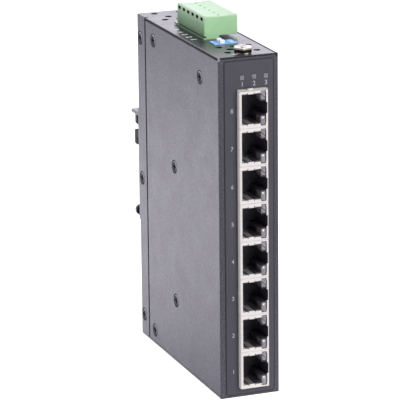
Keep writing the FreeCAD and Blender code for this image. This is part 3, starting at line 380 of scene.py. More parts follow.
# %% Side screws
HEAD_RADIUS = 2.95 * MM
HEAD_DEEP = 2.0 * MM
RIM_HALF = 0.55 * MM
CROSS_REACH, CROSS_HALF = 1.9 * MM, 0.42 * MM
GLEAM_RADIUS, GLEAM_HALF = HEAD_RADIUS - 0.75 * MM, 0.45 * MM
GLEAM_GREY = (0.60, 0.60, 0.66)
PLAIN_MATT = 0.55


def left_heads(name):
    """Middles (y, z) of the heads at a node's left end; points closer than a head's width are one head."""
    points = mesh_points(name)
    heads = points[points[:, 0] < points[:, 0].min() + HEAD_DEEP, 1:]
    middles = []
    while len(heads):
        near = np.linalg.norm(heads - heads[0], axis=1) < 2 * HEAD_RADIUS + MM
        middles.append((heads[near].min(axis=0) + heads[near].max(axis=0)) / 2)
        heads = heads[~near]
    return middles


SIDE_SCREWS = left_heads("cover_screws") + left_heads("rear_flange_screws")
print("screws on the left side:", [(round(y / MM, 1), round(z / MM, 1)) for y, z in SIDE_SCREWS])


def screw_rings(tree, tone, rough):
    """Each head gets painted shade in a dark rim and a dark cross, and inside the rim a painted highlight as
    a pale crescent on its upper front.

    The dark marks are fully matt, and the rest of a head is PLAIN_MATT of the way there."""
    _, y, z = axes(tree)
    dark, pale = [], []
    for middle_y, middle_z in SIDE_SCREWS:
        along, up = math_node(tree, "SUBTRACT", y, middle_y), math_node(tree, "SUBTRACT", z, middle_z)
        reach = length_of(tree, along, up)
        arm = math_node(tree, "MINIMUM", math_node(tree, "ABSOLUTE", along), math_node(tree, "ABSOLUTE", up))
        dark.append(ramp(tree, away_from(tree, reach, HEAD_RADIUS), RIM_HALF, RIM_HALF - 0.25 * MM))
        inside = ramp(tree, reach, CROSS_REACH, CROSS_REACH - 0.3 * MM)
        dark.append(product(tree, ramp(tree, arm, CROSS_HALF, CROSS_HALF - 0.17 * MM), inside))
        facing = ramp(tree, math_node(tree, "SUBTRACT", up, along), 0.4 * MM, 2.2 * MM)
        ring = ramp(tree, away_from(tree, reach, GLEAM_RADIUS), GLEAM_HALF, GLEAM_HALF - 0.3 * MM)
        pale.append(product(tree, ring, facing))
    dark, pale = largest(tree, *dark), largest(tree, *pale)
    # Painted highlight in the crescent, painted shade in the rim and the cross.
    tone = blend_colour(tree, product(tree, pale, 0.8), tone, GLEAM_GREY)
    matt = largest(tree, dark, PLAIN_MATT)
    return blend_colour(tree, dark, tone, SHADOW_BLACK), ramp(tree, matt, 0.0, 1.0, rough, 0.95)


BLACKENED = finish("black_zinc", (0.055, 0.053, 0.062), 0.34, fine=1.5, tint=0.2, bump=0.01, edge=0.35,
                   metallic=0.6, overlay=screw_rings)
dress(BLACKENED, "cover_screws", "rear_flange_screws", "clip_screws")

# %% [markdown]
# ## The front film and the rail clip
# The film on the front is a matt print, so it doesn't mirror the bright background as the paint does.
# Along its edge runs a fine line of painted shadow. That shadow could come from a second, slightly larger
# piece behind it, but a mask made from the film's own box is enough. The rail clip has the case's coat in
# a paler grey, with painted highlights along its edges.

# %% Film and clip
FILM_SHADOW_RIM = 0.45 * MM


def film_rim(tree, tone, rough):
    """Paints shadow on the film's rim: darkens the film outside its own box less a rim."""
    low, high = corners("front_label")
    rim = np.array((FILM_SHADOW_RIM, -MM, FILM_SHADOW_RIM))
    core = inside_box(tree, low + rim, high - rim, 0.1 * MM)
    return blend_colour(tree, core, SHADOW_BLACK, tone), rough


FILM = finish("matt_film", (0.041, 0.0395, 0.051), 0.55, fine=2.2, broad=0.05, tint=0.10, bump=0.006,
              edge=0.1, overlay=film_rim)
dress(FILM, "front_label")
# Painted highlights along the clip's edges.
CLIP = finish("clip_paint", (0.040, 0.036, 0.048), 0.34, fine=2.0, tint=0.15, bump=0.012, edge=0.3, edge_highlight=0.5,
              edge_highlight_colour=(0.35, 0.35, 0.38), IOR=1.75)
dress(CLIP, "rail_clip")

# %% [markdown]
# ## Tinned jack shields
# Each jack sits in a can of tinned sheet, a soft and slightly warm mirror. Its streaks run every way, so
# the scuffs group raises its roughness in thin lines instead of bending it with a strong bump. A mirror
# inside a mirror takes many bounces to look right. So boxes paint the light instead: the left wall white as
# lit, the front face greyer as shaded, shade over the springs inside and a shaded line at the top jack's
# fold, which keeps them calm at a few bounces.

# %% Jack shields
JACKS = 8
SHIELD_WALL_LIT = (1.0, 0.99, 0.93)
SHIELD_FACE_SHADED = (0.66, 0.635, 0.595)
SHIELD_SPRINGS_SHADE = (0.205, 0.195, 0.195)
SHIELD_FOLD_SHADE = (0.10, 0.09, 0.09)
jack_low, jack_high = corners("port_shield_1")
top_low, top_high = corners("port_shield_%d" % JACKS)


def shield_shade(tree, tone, rough):
    """Painted light: lit white left walls, front faces greyer as shaded, shade over the springs inside, and a
    shaded line at the top jack's fold.
    """
    (x0, y0, _), (x1, y1, z1) = top_low, top_high
    z0 = jack_low[2]
    # Masks for painted light: shade inside over the springs, a shaded line at the fold, a shaded front face
    # and a lit left wall.
    springs = inside_box(tree, (x0 + 3 * MM, y0 + 0.5 * MM, z0 + 0.5 * MM), top_high - 0.5 * MM, 0.3 * MM)
    fold = inside_box(tree, (x0, y0 - MM, z1 - 0.35 * MM), (x1, y0 + 0.1 * MM, z1 - 0.1 * MM), 0.15 * MM)
    face = inside_box(tree, (x0 - MM, y0 - MM, z0 - MM), (x1 + MM, y0 + 0.05 * MM, z1 + MM), 0.05 * MM)
    wall = inside_box(tree, (x0 - MM, y0 + 0.1 * MM, z0 - MM), (x0 + 0.05 * MM, y1, z1 + MM), 0.05 * MM)
    tone = blend_colour(tree, wall, tone, SHIELD_WALL_LIT)
    tone = blend_colour(tree, face, tone, SHIELD_FACE_SHADED)
    tone = blend_colour(tree, springs, tone, SHIELD_SPRINGS_SHADE)
    return blend_colour(tree, product(tree, fold, 0.6), tone, SHIELD_FOLD_SHADE), rough


TIN = finish("tinned_sheet", (0.84, 0.80, 0.75), 0.50, fine=1.5, broad=0.20, tint=0.05, bump=0.004, edge=0.1,
             metallic=0.25, scuff=0.25, overlay=shield_shade)
dress(TIN, *["port_shield_%d" % k for k in range(1, JACKS + 1)], "header_pins", "dip_switch_pins")

# %% [markdown]
# ## Earth screw and the other metals
# The earth screw is nickel plated, with a bright crown and a knurled skirt that lies in shade. The skirt
# could be a node of its own, but one screw is one piece, so a box mask paints its shade in dark brown. The
# rest is zinc, gold flash and bare aluminium, each the same recipe with its own colour and gloss.

# %% Plated metals
SKIRT_SHADE_BROWN = (0.035, 0.024, 0.020)
CROWN_TALL = 0.75 * MM


def screw_skirt(tree, tone, rough):
    """Below its bright crown the earth screw gets painted shade in dark brown, down to the washer."""
    low, high = corners("earth_screw")
    foot = corners("earth_washer")[1][2] + 0.05 * MM
    skirt = inside_box(tree, (low[0] - MM, low[1] - MM, foot),
                       (high[0] + MM, high[1] + MM, high[2] - CROWN_TALL), 0.1 * MM)
    return blend_colour(tree, skirt, tone, SKIRT_SHADE_BROWN), rough


NICKEL = finish("nickel_plate", (0.50, 0.48, 0.43), 0.30, fine=1.2, tint=0.10, bump=0.008, edge=0.25,
                metallic=1.0, scuff=0.3, overlay=screw_skirt)
dress(NICKEL, "earth_screw", "earth_washer")
ZINC = finish("zinc_plate", (0.55, 0.56, 0.57), 0.36, fine=1.2, tint=0.1, bump=0.006, edge=0.12, metallic=1.0)
dress(ZINC, "board_standoffs", "board_screws", "clamp_screws", "wire_clamps", "earth_nut", "clip_nuts",
      "stop_pin", "catch_springs")
GOLD = finish("gold_flash", (0.83, 0.60, 0.24), 0.28, tint=0.05, bump=0.002, edge=0.05, metallic=1.0)
dress(GOLD, "port_contacts")
ALUMINIUM = finish("plain_aluminium", (0.72, 0.73, 0.75), 0.42, tint=0.06, bump=0.004, edge=0.15,
                   metallic=1.0)
dress(ALUMINIUM, "heat_sink", "capacitors", "crystal")

# %% [markdown]
# ## The green power terminal
# Plug and header are pale green mouldings with a faint spark-eroded skin, and their thin edges pass a
# little light, so they get some subsurface. Moulding also leaves fine lines along the top. Light is painted
# on as well: a pale sheen over the top and a highlight along its left crest, shade towards the foot, a
# nearly white highlight on the key at the rear, and shade in the test windows and the joint's groove. All
# that could be painted on an unwrapped mesh, but masks made from the two boxes follow the terminal by
# themselves.

# %% Terminal mouldings
LINES_AND_SHEEN_GREEN = (0.72, 0.80, 0.68)
FOOT_SHADE_GREEN = (0.035, 0.15, 0.035)
RECESS_SHADE_DARK = (0.006, 0.010, 0.008)
KEY_HIGHLIGHT = (0.80, 0.70, 0.70)
WAVES_PER_MM = 0.9
plug_low, plug_high = corners("terminal_plug")
header_low, header_high = corners("terminal_header")


def side_shade(tree, tone, rough):
    """Painted shade: the left wall of plug and header is a little darker towards its foot."""
    x, _, z = axes(tree)
    foot = ramp(tree, z, plug_high[2] - 0.4 * MM, plug_high[2] - 5.0 * MM, smooth=True)
    wall = ramp(tree, x, plug_low[0] + 0.5 * MM, plug_low[0] + 0.1 * MM)
    return blend_colour(tree, product(tree, foot, wall, 0.45), tone, FOOT_SHADE_GREEN), rough


def top_lines(tree, tone, rough):
    """The plug's top has faint mould lines along it, a painted highlight on the crest along its left edge and
    a slight painted sheen all over.
    """
    x, _, z = axes(tree)
    wave = add(tree, "ShaderNodeTexNoise", {"noise_dimensions": "1D"}, W=product(tree, x, WAVES_PER_MM / MM),
               Scale=1.0, Detail=3.0)
    top = ramp(tree, z, plug_high[2] - 0.9 * MM, plug_high[2] - 0.4 * MM)
    line = product(tree, ramp(tree, wave.outputs["Fac"], 0.56, 0.66), top)
    crest = product(tree, ramp(tree, x, plug_low[0] + 1.3 * MM, plug_low[0] + 0.5 * MM), top)
    top_sheen = product(tree, top, 0.5)
    # Real mould lines mixed with a painted highlight on the crest and a painted sheen over the top.
    pale = product(tree, largest(tree, line, crest, top_sheen), 0.4)
    return blend_colour(tree, pale, tone, LINES_AND_SHEEN_GREEN), rough


def test_windows(tree, tone, rough):
    """Paints shade into the plug's test windows and into the groove of its joint with the header, where the
    clamp chamber lies in shadow.
    """
    (x0, y0, _), (_, y1, z1) = plug_low, plug_high
    rim = header_high[2]
    windows = inside_box(tree, (x0 + 0.12 * MM, y0 + MM, z1 - 2.3 * MM),
                         (x0 + 1.9 * MM, y1 - MM, z1 - 0.6 * MM), 0.1 * MM)
    joint = inside_box(tree, (x0 + 0.3 * MM, y0 - MM, rim - 0.5 * MM),
                       (x0 + 0.9 * MM, y1 + MM, rim + 0.3 * MM), 0.1 * MM)
    tone, rough = top_lines(tree, tone, rough)
    return side_shade(tree, blend_colour(tree, largest(tree, windows, joint), tone, RECESS_SHADE_DARK), rough)


def pale_key(tree, tone, rough):
    """Paints a nearly white highlight on the small key at the header's rear end."""
    key = inside_box(tree, (header_low[0] - MM, plug_high[1] + 0.05 * MM, header_low[2]), header_high + MM,
                     0.05 * MM)
    return side_shade(tree, blend_colour(tree, key, tone, KEY_HIGHLIGHT), rough)


GREEN_LOOK = dict(colour=(0.335, 0.56, 0.30), roughness=0.46, fine=1.5, broad=0.12, tint=0.05, bump=0.012,
                  edge=0.25, Subsurface_Weight=0.1, Subsurface_Scale=0.002, Subsurface_Radius=(1.0, 1.0, 0.8))
dress(finish("green_plug", overlay=test_windows, **GREEN_LOOK), "terminal_plug")
dress(finish("green_header", overlay=pale_key, **GREEN_LOOK), "terminal_header")

# %% [markdown]
# ## Jack bodies
# The jack bodies are black and only slightly glossy, and most of each one lies in shadow. What shows is
# the floor, where three pale lines are painted reflections of the contacts, fading inwards as painted
# shade. They could be strips of mesh, but they are a mere sheen, so they are a mask. The eight jacks
# repeat at one pitch, so the mask is made for one jack, and a Wrap node carries the height of any point
# to it.

# %% Jack bodies
REFLECTION_LINES = [v * MM for v in (-5.6, -3.4, -0.6)]
REFLECTION_FLOOR = -5.0 * MM
REFLECTION_GREY = (0.30, 0.29, 0.28)
jack_middle = (jack_low[2] + jack_high[2]) / 2
jack_pitch = (top_low[2] - jack_low[2]) / (JACKS - 1)
print("jack pitch, mm:", round(jack_pitch / MM, 2))


def height_in_jack(tree, z):
    """Height above the middle of whichever jack is nearest."""
    above = math_node(tree, "SUBTRACT", z, jack_middle)
    return math_node(tree, "WRAP", above, jack_pitch / 2, -jack_pitch / 2)


def jack_ridges(tree, tone, rough):
    """Three pale lines of painted reflection run inwards along the floor of each jack and fade with depth."""
    x, y, z = axes(tree)
    floor = ramp(tree, height_in_jack(tree, z), REFLECTION_FLOOR + 0.4 * MM, REFLECTION_FLOOR)
    reflection_line = largest(tree, *[ramp(tree, away_from(tree, x, middle), 0.45 * MM, 0.2 * MM) for middle in REFLECTION_LINES])
    depth = ramp(tree, y, jack_low[1] + 9 * MM, jack_low[1] + 2 * MM)
    return blend_colour(tree, product(tree, reflection_line, floor, depth), tone, REFLECTION_GREY), rough


INSERT = finish("jack_moulding", (0.032, 0.031, 0.042), 0.36, fine=2.0, tint=0.2, bump=0.006, edge=0.12,
                overlay=jack_ridges)
dress(INSERT, *["port_insert_%d" % k for k in range(1, JACKS + 1)])

# %% [markdown]
# ## Other mouldings and the board
# The option switch is bright blue with white sliders, the catch is a dark matt moulding, and the parts on
# the board are black or pale. Most of them hide in the case. They could share one plain grey, but somebody
# may take the case off the model, and with one recipe each true finish is a single line.

# %% Other mouldings
BLACK = finish("black_moulding", (0.030, 0.029, 0.036), 0.36, fine=2.0, tint=0.2, bump=0.006, edge=0.12)
dress(BLACK, "port_transformers", "switch_chip", "memory_chip", "power_inductor")
BLUE = finish("blue_moulding", (0.20, 0.52, 0.98), 0.28, tint=0.06, bump=0.004, edge=0.1)
dress(BLUE, "dip_switch_body")
WHITE = finish("white_moulding", (0.86, 0.86, 0.85), 0.35, tint=0.03, bump=0.004, edge=0.15)
dress(WHITE, "dip_slider_1", "dip_slider_2", "status_leds")
CATCH = finish("catch_moulding", (0.022, 0.030, 0.026), 0.80, tint=0.15, bump=0.01, edge=0.2)
dress(CATCH, "rail_catch")
BOARD = finish("board_lacquer", (0.02, 0.13, 0.06), 0.30, tint=0.12, bump=0.004, edge=0.05)
dress(BOARD, "circuit_board")
PALE = finish("pale_moulding", (0.62, 0.60, 0.53), 0.45, tint=0.05, bump=0.006, edge=0.15)
dress(PALE, "fault_relay", "fuse")

# %% [markdown]
# ## Lamp windows
# The small windows beside each jack are clear light pipes. Full glass with a black jack behind it looks
# dark with bright corners, so they are only partly transmissive and keep some colour of their own, with
# painted reflections as masks: slanting dark streaks and one white glint. The three status windows are
# frosted and greyer.

# %% Lamp windows
LAMP_INNER, LAMP_OUTER = 3.35 * MM, 7.2 * MM
GLINT_RADIUS = 0.38 * MM
GLINT_DROP = 0.62 * MM
GLINT_SIDE = 0.15 * MM
STREAK_SLOPE = 0.9
STREAKS_PER_MM = 1.1
STREAK_REFLECTION_DARK = (0.10, 0.09, 0.11)
lamp_low, lamp_high = corners("port_lamps")


def lamp_gleam(tree, tone, rough):
    """Each pipe's end gets painted reflections in dark slanting streaks, and the lower one a painted white
    glint near its upper end.
    """
    x, _, z = axes(tree)
    height = height_in_jack(tree, z)
    side = math_node(tree, "SUBTRACT", x, (lamp_low[0] + lamp_high[0]) / 2)
    slant = math_node(tree, "MULTIPLY_ADD", side, STREAK_SLOPE, height)
    wave = add(tree, "ShaderNodeTexNoise", {"noise_dimensions": "1D"},
               W=product(tree, slant, STREAKS_PER_MM / MM), Scale=1.0, Detail=2.0)
    streak = ramp(tree, wave.outputs["Fac"], 0.50, 0.40)
    # Painted reflections: dark slanting streaks.
    tone = blend_colour(tree, product(tree, streak, 0.75), tone, STREAK_REFLECTION_DARK)
    reach = length_of(tree, math_node(tree, "ADD", side, GLINT_SIDE),
                      math_node(tree, "SUBTRACT", height, -LAMP_INNER - GLINT_DROP))
    glint = ramp(tree, reach, GLINT_RADIUS * 1.5, GLINT_RADIUS * 0.6)
    # Painted white glint.
    return blend_colour(tree, glint, tone, (1.0, 1.0, 1.0)), rough


PIPE = finish("light_pipe", (0.40, 0.385, 0.41), 0.14, fine=0.9, broad=0.6, tint=0.5, bump=0.06, edge=0.3,
              overlay=lamp_gleam, Transmission_Weight=0.40, IOR=1.49)
dress(PIPE, "port_lamps")
FROST = finish("frosted_window", (0.19, 0.186, 0.215), 0.30, fine=1.2, broad=0.6, tint=0.3, bump=0.03,
               edge=0.3, Transmission_Weight=0.2, IOR=1.49)
dress(FROST, "status_light_guide")

# %% [markdown]
# ## Surfaces from a grid of points
# The pieces that follow are surfaces given by a formula. Modelling tools could make each of them, but a
# formula keeps its size in a few names. numpy works out all points of a piece at once, row by column, and
# one helper joins neighbours to quads, hands the mesh to Blender and ties it to its body in the frame.


# %% Mesh from a grid
def add_piece(name, mesh, material, body):
    """Puts a finished mesh in the scene as a piece that rides on a body of the frame."""
    mesh.materials.clear()
    mesh.materials.append(material)
    piece = bpy.data.objects.new(name, mesh)
    bpy.context.scene.collection.objects.link(piece)
    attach(piece, body)
    return piece


def grid_mesh(name, points, material, body, wrap=False):
    """Quads between the rows and columns of points (rows, columns, 3); wrap joins the last row to the first.

    Points that fall together, as at a pole, are merged, so the surface has no hole there."""
    rows, columns = points.shape[:2]
    index = np.arange(rows * columns).reshape(rows, columns)
    if wrap:
        index = np.vstack([index, index[:1]])
    quads = np.stack([index[:-1, :-1], index[:-1, 1:], index[1:, 1:], index[1:, :-1]], axis=-1).reshape(-1, 4)
    mesh = bpy.data.meshes.new(name)
    mesh.from_pydata(points.reshape(-1, 3).tolist(), [], quads.tolist())
    merged = bmesh.new()
    merged.from_mesh(mesh)
    bmesh.ops.remove_doubles(merged, verts=merged.verts, dist=0.001 * MM)
    merged.to_mesh(mesh)
    merged.free()
    mesh.polygons.foreach_set("use_smooth", np.ones(len(mesh.polygons), bool))
    return add_piece(name, mesh, material, body)


print("grid helper ready")

# %% [markdown]
# ## Curved lenses on the light pipes
# A flat window has no sparkle. The end of a real light pipe is slightly domed, so one small highlight sits
# on it. The dome could be cut from a sphere, but a function of two parameters over the window's face fits
# its straight sides exactly.

# %% Lamp lenses
LENS_BULGE = 0.2 * MM
LENS_MARGIN = 0.25 * MM
LENS = finish("lens_end", (0.36, 0.345, 0.37), 0.08, fine=0.8, tint=0.2, bump=0.02, edge=0.05,
              overlay=lamp_gleam, Transmission_Weight=0.35, IOR=1.49)


def lens(name, low, high):
    """Dome between two heights: y = front - bulge x (1 - u^2) x (1 - v^2), u and v from -1 to 1 across it."""
    u, v = np.meshgrid(np.linspace(-1, 1, 9), np.linspace(-1, 1, 13))
    x = (lamp_low[0] + lamp_high[0]) / 2 + u * ((lamp_high[0] - lamp_low[0]) / 2 - LENS_MARGIN)
    z = (low + high) / 2 + v * ((high - low) / 2 - LENS_MARGIN)
    y = lamp_low[1] - LENS_BULGE * (1 - u ** 2) * (1 - v ** 2)
    return grid_mesh(name, np.stack([x, y, z], axis=-1), LENS, "case")


for k in range(1, JACKS + 1):
    shield_low, shield_high = corners("port_shield_%d" % k)
    middle = (shield_low[2] + shield_high[2]) / 2
    lens("lamp_lens_%d_low" % k, middle - LAMP_OUTER, middle - LAMP_INNER)
    lens("lamp_lens_%d_high" % k, middle + LAMP_INNER, middle + LAMP_OUTER)
print("lenses:", 2 * JACKS)

# %% [markdown]
# ## Spring finger on the top jack
# A shielded jack has a springy finger cut in its sheet, which touches its neighbour or the panel. Only the
# one on the highest jack is in sight. It could be a bent strip with a Solidify modifier. Here a profile in
# the plane of the case's length, an arch with its own thickness, is carried across the finger's width.

# %% Spring finger
FINGER_LEFT, FINGER_RIGHT = -1.37 * MM, 1.12 * MM
FINGER_RISE = 0.5 * MM
FINGER_THICK = 0.12 * MM
FINGER_SINK = 0.2 * MM
FINGER_SETBACK, FINGER_SHORT = 0.1 * MM, 0.35 * MM


def spring_finger():
    """Loop of an arch z = top + rise x sin(pi t)^0.6 and the same arch one thickness lower, t along the case.

    The first and last loops are squeezed to the arch's middle line, which closes the finger's two sides."""
    t = np.linspace(0.0, 1.0, 17)
    y = top_low[1] + FINGER_SETBACK + t * (cover_low[1] - top_low[1] - FINGER_SHORT)
    z = top_high[2] - FINGER_SINK + (FINGER_RISE + FINGER_SINK) * np.sin(np.pi * t) ** 0.6
    loop_y = np.concatenate([y, y[::-1]])
    loop_z = np.concatenate([z, z[::-1] - FINGER_THICK])
    middle_z = np.concatenate([z, z[::-1]]) - FINGER_THICK / 2
    x, y = np.meshgrid([FINGER_LEFT, FINGER_LEFT, FINGER_RIGHT, FINGER_RIGHT], loop_y)
    z = np.stack([middle_z, loop_z, loop_z, middle_z], axis=1)
    return grid_mesh("spring_finger", np.stack([x, y, z], axis=-1), TIN, "case", wrap=True)


spring_finger()
print("spring finger rises", FINGER_RISE / MM, "mm above the top jack")

# %% [markdown]
# ## Springs of the rail catch
# Two small coils push the rail catch down, and they get shorter when it slides up. A solid from CAD can't
# shorten, so these coils stand for it, each in a mesh of its own; here they are built at full length. Each
# is a circle carried along a helix.

# %% Catch springs
SPRING_TURNS = 6
STEPS_PER_TURN = 24
WIRE_RADIUS = 0.2 * MM
COIL_RADIUS = 1.4 * MM
coil_low, coil_high = corners("catch_springs")
coil_height = coil_high[2] - coil_low[2]
SPRING_STEEL = finish("spring_wire", (0.55, 0.56, 0.57), 0.32, fine=2.0, tint=0.1, bump=0.004, edge=0.05,
                      metallic=1.0)


def catch_spring(name, middle_x):
    """Tube: helix point + wire radius x (cos b x outward + sin b x up), b once round the wire.

    The first and last sections have no radius, which closes the wire's ends."""
    turn = np.linspace(0.0, 2 * math.pi * SPRING_TURNS, SPRING_TURNS * STEPS_PER_TURN + 1)
    turn = np.concatenate([turn[:1], turn, turn[-1:]])
    section = np.linspace(0.0, 2 * math.pi, 11)[:-1]
    width = np.full(len(turn), WIRE_RADIUS)
    width[[0, -1]] = 0.0
    reach = COIL_RADIUS + width * np.cos(section)[:, None]
    climb = coil_low[2] + WIRE_RADIUS + turn / turn[-1] * (coil_height - 2 * WIRE_RADIUS)
    x = middle_x + reach * np.cos(turn)
    y = (coil_low[1] + coil_high[1]) / 2 + reach * np.sin(turn)
    z = climb + width * np.sin(section)[:, None]
    points = np.stack([x, y, z], axis=-1)[::-1]
    piece = grid_mesh(name, points, SPRING_STEEL, "case", wrap=True)
    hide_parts("catch_springs")
    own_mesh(piece)


SPRING_INSET = COIL_RADIUS + WIRE_RADIUS
catch_spring("catch_spring_left", coil_low[0] + SPRING_INSET)
catch_spring("catch_spring_right", coil_high[0] - SPRING_INSET)

# %% [markdown]
# ## Moulded marks on the terminal
# Along the middle of the plug's dished top stand six low marks, one per pole. They could be bump in the
# green finish, but then they would have no edge to catch the light. They are ellipsoid caps, and one
# function makes them all. They ride on the body named plug, because they come away with it.

# %% Pole marks
POLES = 6
PLUG_END_WALL = 0.12 * MM
DISH_DEPTH = 0.35 * MM
MARK_LONG, MARK_WIDE, MARK_RISE, MARK_SINK = 0.85 * MM, 0.60 * MM, 0.30 * MM, 0.08 * MM
MARK_GREEN = finish("green_marks", **dict(GREEN_LOOK, colour=(0.24, 0.46, 0.23)))
pole_step = (plug_high[1] - plug_low[1] - 2 * PLUG_END_WALL) / POLES
pole_places = [plug_low[1] + PLUG_END_WALL + (k + 0.5) * pole_step for k in range(POLES)]


def pole_mark(name, middle_y):
    """Cap: z = floor + rise x sqrt(1 - r^2) over a disc of radius r stretched to an ellipse."""
    r, turn = np.meshgrid(np.linspace(0.0, 1.0, 6), np.linspace(0.0, 2 * math.pi, 25)[:-1])
    x = (plug_low[0] + plug_high[0]) / 2 + MARK_WIDE * r * np.cos(turn)
    y = middle_y + MARK_LONG * r * np.sin(turn)
    z = plug_high[2] - DISH_DEPTH - MARK_SINK + MARK_RISE * np.sqrt(1 - r ** 2)
    return grid_mesh(name, np.stack([x, y, z], axis=-1), MARK_GREEN, "plug", wrap=True)


for k in range(POLES):
    pole_mark("pole_mark_%d" % (k + 1), pole_places[k])
print("marks on the plug:", POLES, "at a pitch of", round(pole_step / MM, 2), "mm")

# %% [markdown]
# ## Printed marks
# The film carries the port numbers and a number under each status window. The top panel has a number
# beside each pole of the terminal and an earth mark by the screw. Print could be a texture, but letters
# cut as thin flat meshes stay crisp at any distance. Each is a font curve turned into a mesh and then laid
# on its face by moving its points.

# %% Ink and lettering
INK = finish("grey_ink", (0.35, 0.345, 0.38), 0.55, tint=0.08, bump=0.004, edge=0.01)
INK_WHITE = finish("white_ink", (0.95, 0.95, 0.97), 0.5, tint=0.05, bump=0.004, edge=0.01)
PRINT_LIFT = 0.03 * MM
FINE_STROKE, BOLD_STROKE = 0.008, 0.055
ON_FRONT = ((1, 0, 0), (0, 0, 1))
ON_TOP = ((0, -1, 0), (1, 0, 0))


def flat_text(name, words, height, centre, way, ink, stroke=BOLD_STROKE):
    """Letters of a height, centred on a point; way gives the directions of their right and their up.

    Each point of the curve's mesh goes to centre + its x x right + its y x up, scaled to the height."""
    curve = bpy.data.curves.new(name, "FONT")
    curve.body = words
    curve.offset = stroke
    holder = bpy.data.objects.new(name + "_curve", curve)
    bpy.context.scene.collection.objects.link(holder)
    bpy.context.view_layer.update()
    mesh = bpy.data.meshes.new_from_object(holder)
    bpy.data.objects.remove(holder)
    points = np.empty(len(mesh.vertices) * 3)
    mesh.vertices.foreach_get("co", points)
    points = points.reshape(-1, 3)
    middle = (points.min(axis=0) + points.max(axis=0)) / 2
    flat = (points - middle)[:, :2] * height / np.ptp(points[:, 1])
    placed = np.array(centre, float) + flat @ np.array(way, float)
    mesh.vertices.foreach_set("co", placed.ravel())
    mesh.update()
    return add_piece(name, mesh, ink, "case")


print("inks:", INK.name, INK_WHITE.name)

# %% Numbers on the film
NUMBER_X, NUMBER_DROP, NUMBER_TALL = -7.4 * MM, 0.75 * MM, 1.75 * MM
STATUS_FIRST, STATUS_PITCH, STATUS_TALL = -2.8 * MM, 5.15 * MM, 1.9 * MM
STATUS_WINDOWS = 3
film_face = corners("front_label")[0][1] - PRINT_LIFT
for k in range(1, JACKS + 1):
    low, high = corners("port_shield_%d" % k)
    spot = (NUMBER_X, film_face, (low[2] + high[2]) / 2 - NUMBER_DROP)
    flat_text("port_number_%d" % k, str(k), NUMBER_TALL, spot, ON_FRONT, INK, FINE_STROKE)
guide_low, guide_high = corners("status_light_guide")
under_windows = guide_low[2] - (guide_high[2] - guide_low[2]) * 0.9
for k in range(STATUS_WINDOWS):
    spot = (STATUS_FIRST + k * STATUS_PITCH, film_face, under_windows)
    flat_text("status_number_%d" % (k + 1), str(k + 1), STATUS_TALL, spot, ON_FRONT, INK, FINE_STROKE)
print("numbers on the film:", JACKS + STATUS_WINDOWS)

# %% Numbers on the top panel
POLE_NUMBER_X, POLE_NUMBER_TALL = -9.4 * MM, 2.7 * MM
top_face = corners("chassis")[1][2] + PRINT_LIFT
for k in range(POLES):
    spot = (POLE_NUMBER_X, pole_places[k], top_face)
    flat_text("pole_number_%d" % (k + 1), str(k + 1), POLE_NUMBER_TALL, spot, ON_TOP, INK_WHITE)
print("numbers beside the terminal:", POLES)

# %% Marks on the option switch
SWITCH_PRINT_TALL = 1.5 * MM
SWITCH_NUMBER_INSET, SWITCH_ON_INSET = 8.95 * MM, 1.5 * MM
dip_right, dip_top = corners("dip_switch_body")[1][[0, 2]]
dip_face = dip_top + PRINT_LIFT
slider_places = []
for k in (1, 2):
    slider_low, slider_high = corners("dip_slider_%d" % k)
    slider_places.append((slider_low[1] + slider_high[1]) / 2)
    spot = (dip_right - SWITCH_NUMBER_INSET, slider_places[-1], dip_face)
    flat_text("switch_number_%d" % k, str(k), SWITCH_PRINT_TALL, spot, ON_TOP, INK_WHITE)
spot = (dip_right - SWITCH_ON_INSET, sum(slider_places) / 2, dip_face)
flat_text("switch_on", "ON", SWITCH_PRINT_TALL, spot, ON_TOP, INK_WHITE)
print("marks on the option switch: 3")


# %% Earth mark
def bars(name, spans, height, ink):
    """Flat bars, each from (x0, y0) to (x1, y1) in mm, as one mesh of separate quads at one height."""
    spans = np.array(spans, float) * MM
    around = np.array([(0, 1), (2, 1), (2, 3), (0, 3)])
    flat = spans[:, around].reshape(-1, 2)
    points = np.column_stack([flat, np.full(len(flat), height)])
    mesh = bpy.data.meshes.new(name)
    mesh.from_pydata(points.tolist(), [], np.arange(len(points)).reshape(-1, 4).tolist())
    return add_piece(name, mesh, ink, "case")


EARTH_STEM = (-4.1, -42.6, -3.8, -41.2)
EARTH_BARS = [(-5.5, -42.95, -2.4, -42.6), (-5.0, -43.6, -2.9, -43.25), (-4.45, -44.25, -3.45, -43.9)]
bars("earth_mark", [EARTH_STEM] + EARTH_BARS, top_face, INK_WHITE)
print("earth mark: a stem and", len(EARTH_BARS), "bars")

# %% [markdown]
# ## Floor
# In a studio a product usually stands on a white sweep: the ground runs into the background without an
# edge, and behind the product it is much brighter than in front. That bright background is what the satin
# paint mirrors. The sweep could be a curved sheet, but one flat square does, because to the camera it is
# plain white. To every other ray it is grey in front and bright behind, so the case keeps its contrast.

# %% Floor
FLOOR_HALF = 30.0
STUDIO_TINT = (1.01, 0.98, 1.10)
PLAIN_WHITE = (1.0, 1.0, 1.0)
RISE_FROM, RISE_TO, FRONT_GLOW, BACK_GLOW = -0.24, 0.19, 0.26, 1.42
FADE_FROM, FADE_TO, FADE_KEEPS = 0.28, 0.70, 0.40
LEFT_FROM, LEFT_TO, LEFT_GLOW = -0.12, -0.35, 0.6


def white_to_camera(tree, glow):
    """Colour of a studio surface: plain white to the camera, the studio's tint x glow to other rays."""
    eye = tree.nodes.new("ShaderNodeLightPath").outputs["Is Camera Ray"]
    lilac = add(tree, "ShaderNodeVectorMath", {"operation": "SCALE"}, i0=STUDIO_TINT, Scale=glow)
    return blend_colour(tree, eye, lilac.outputs[0], PLAIN_WHITE)


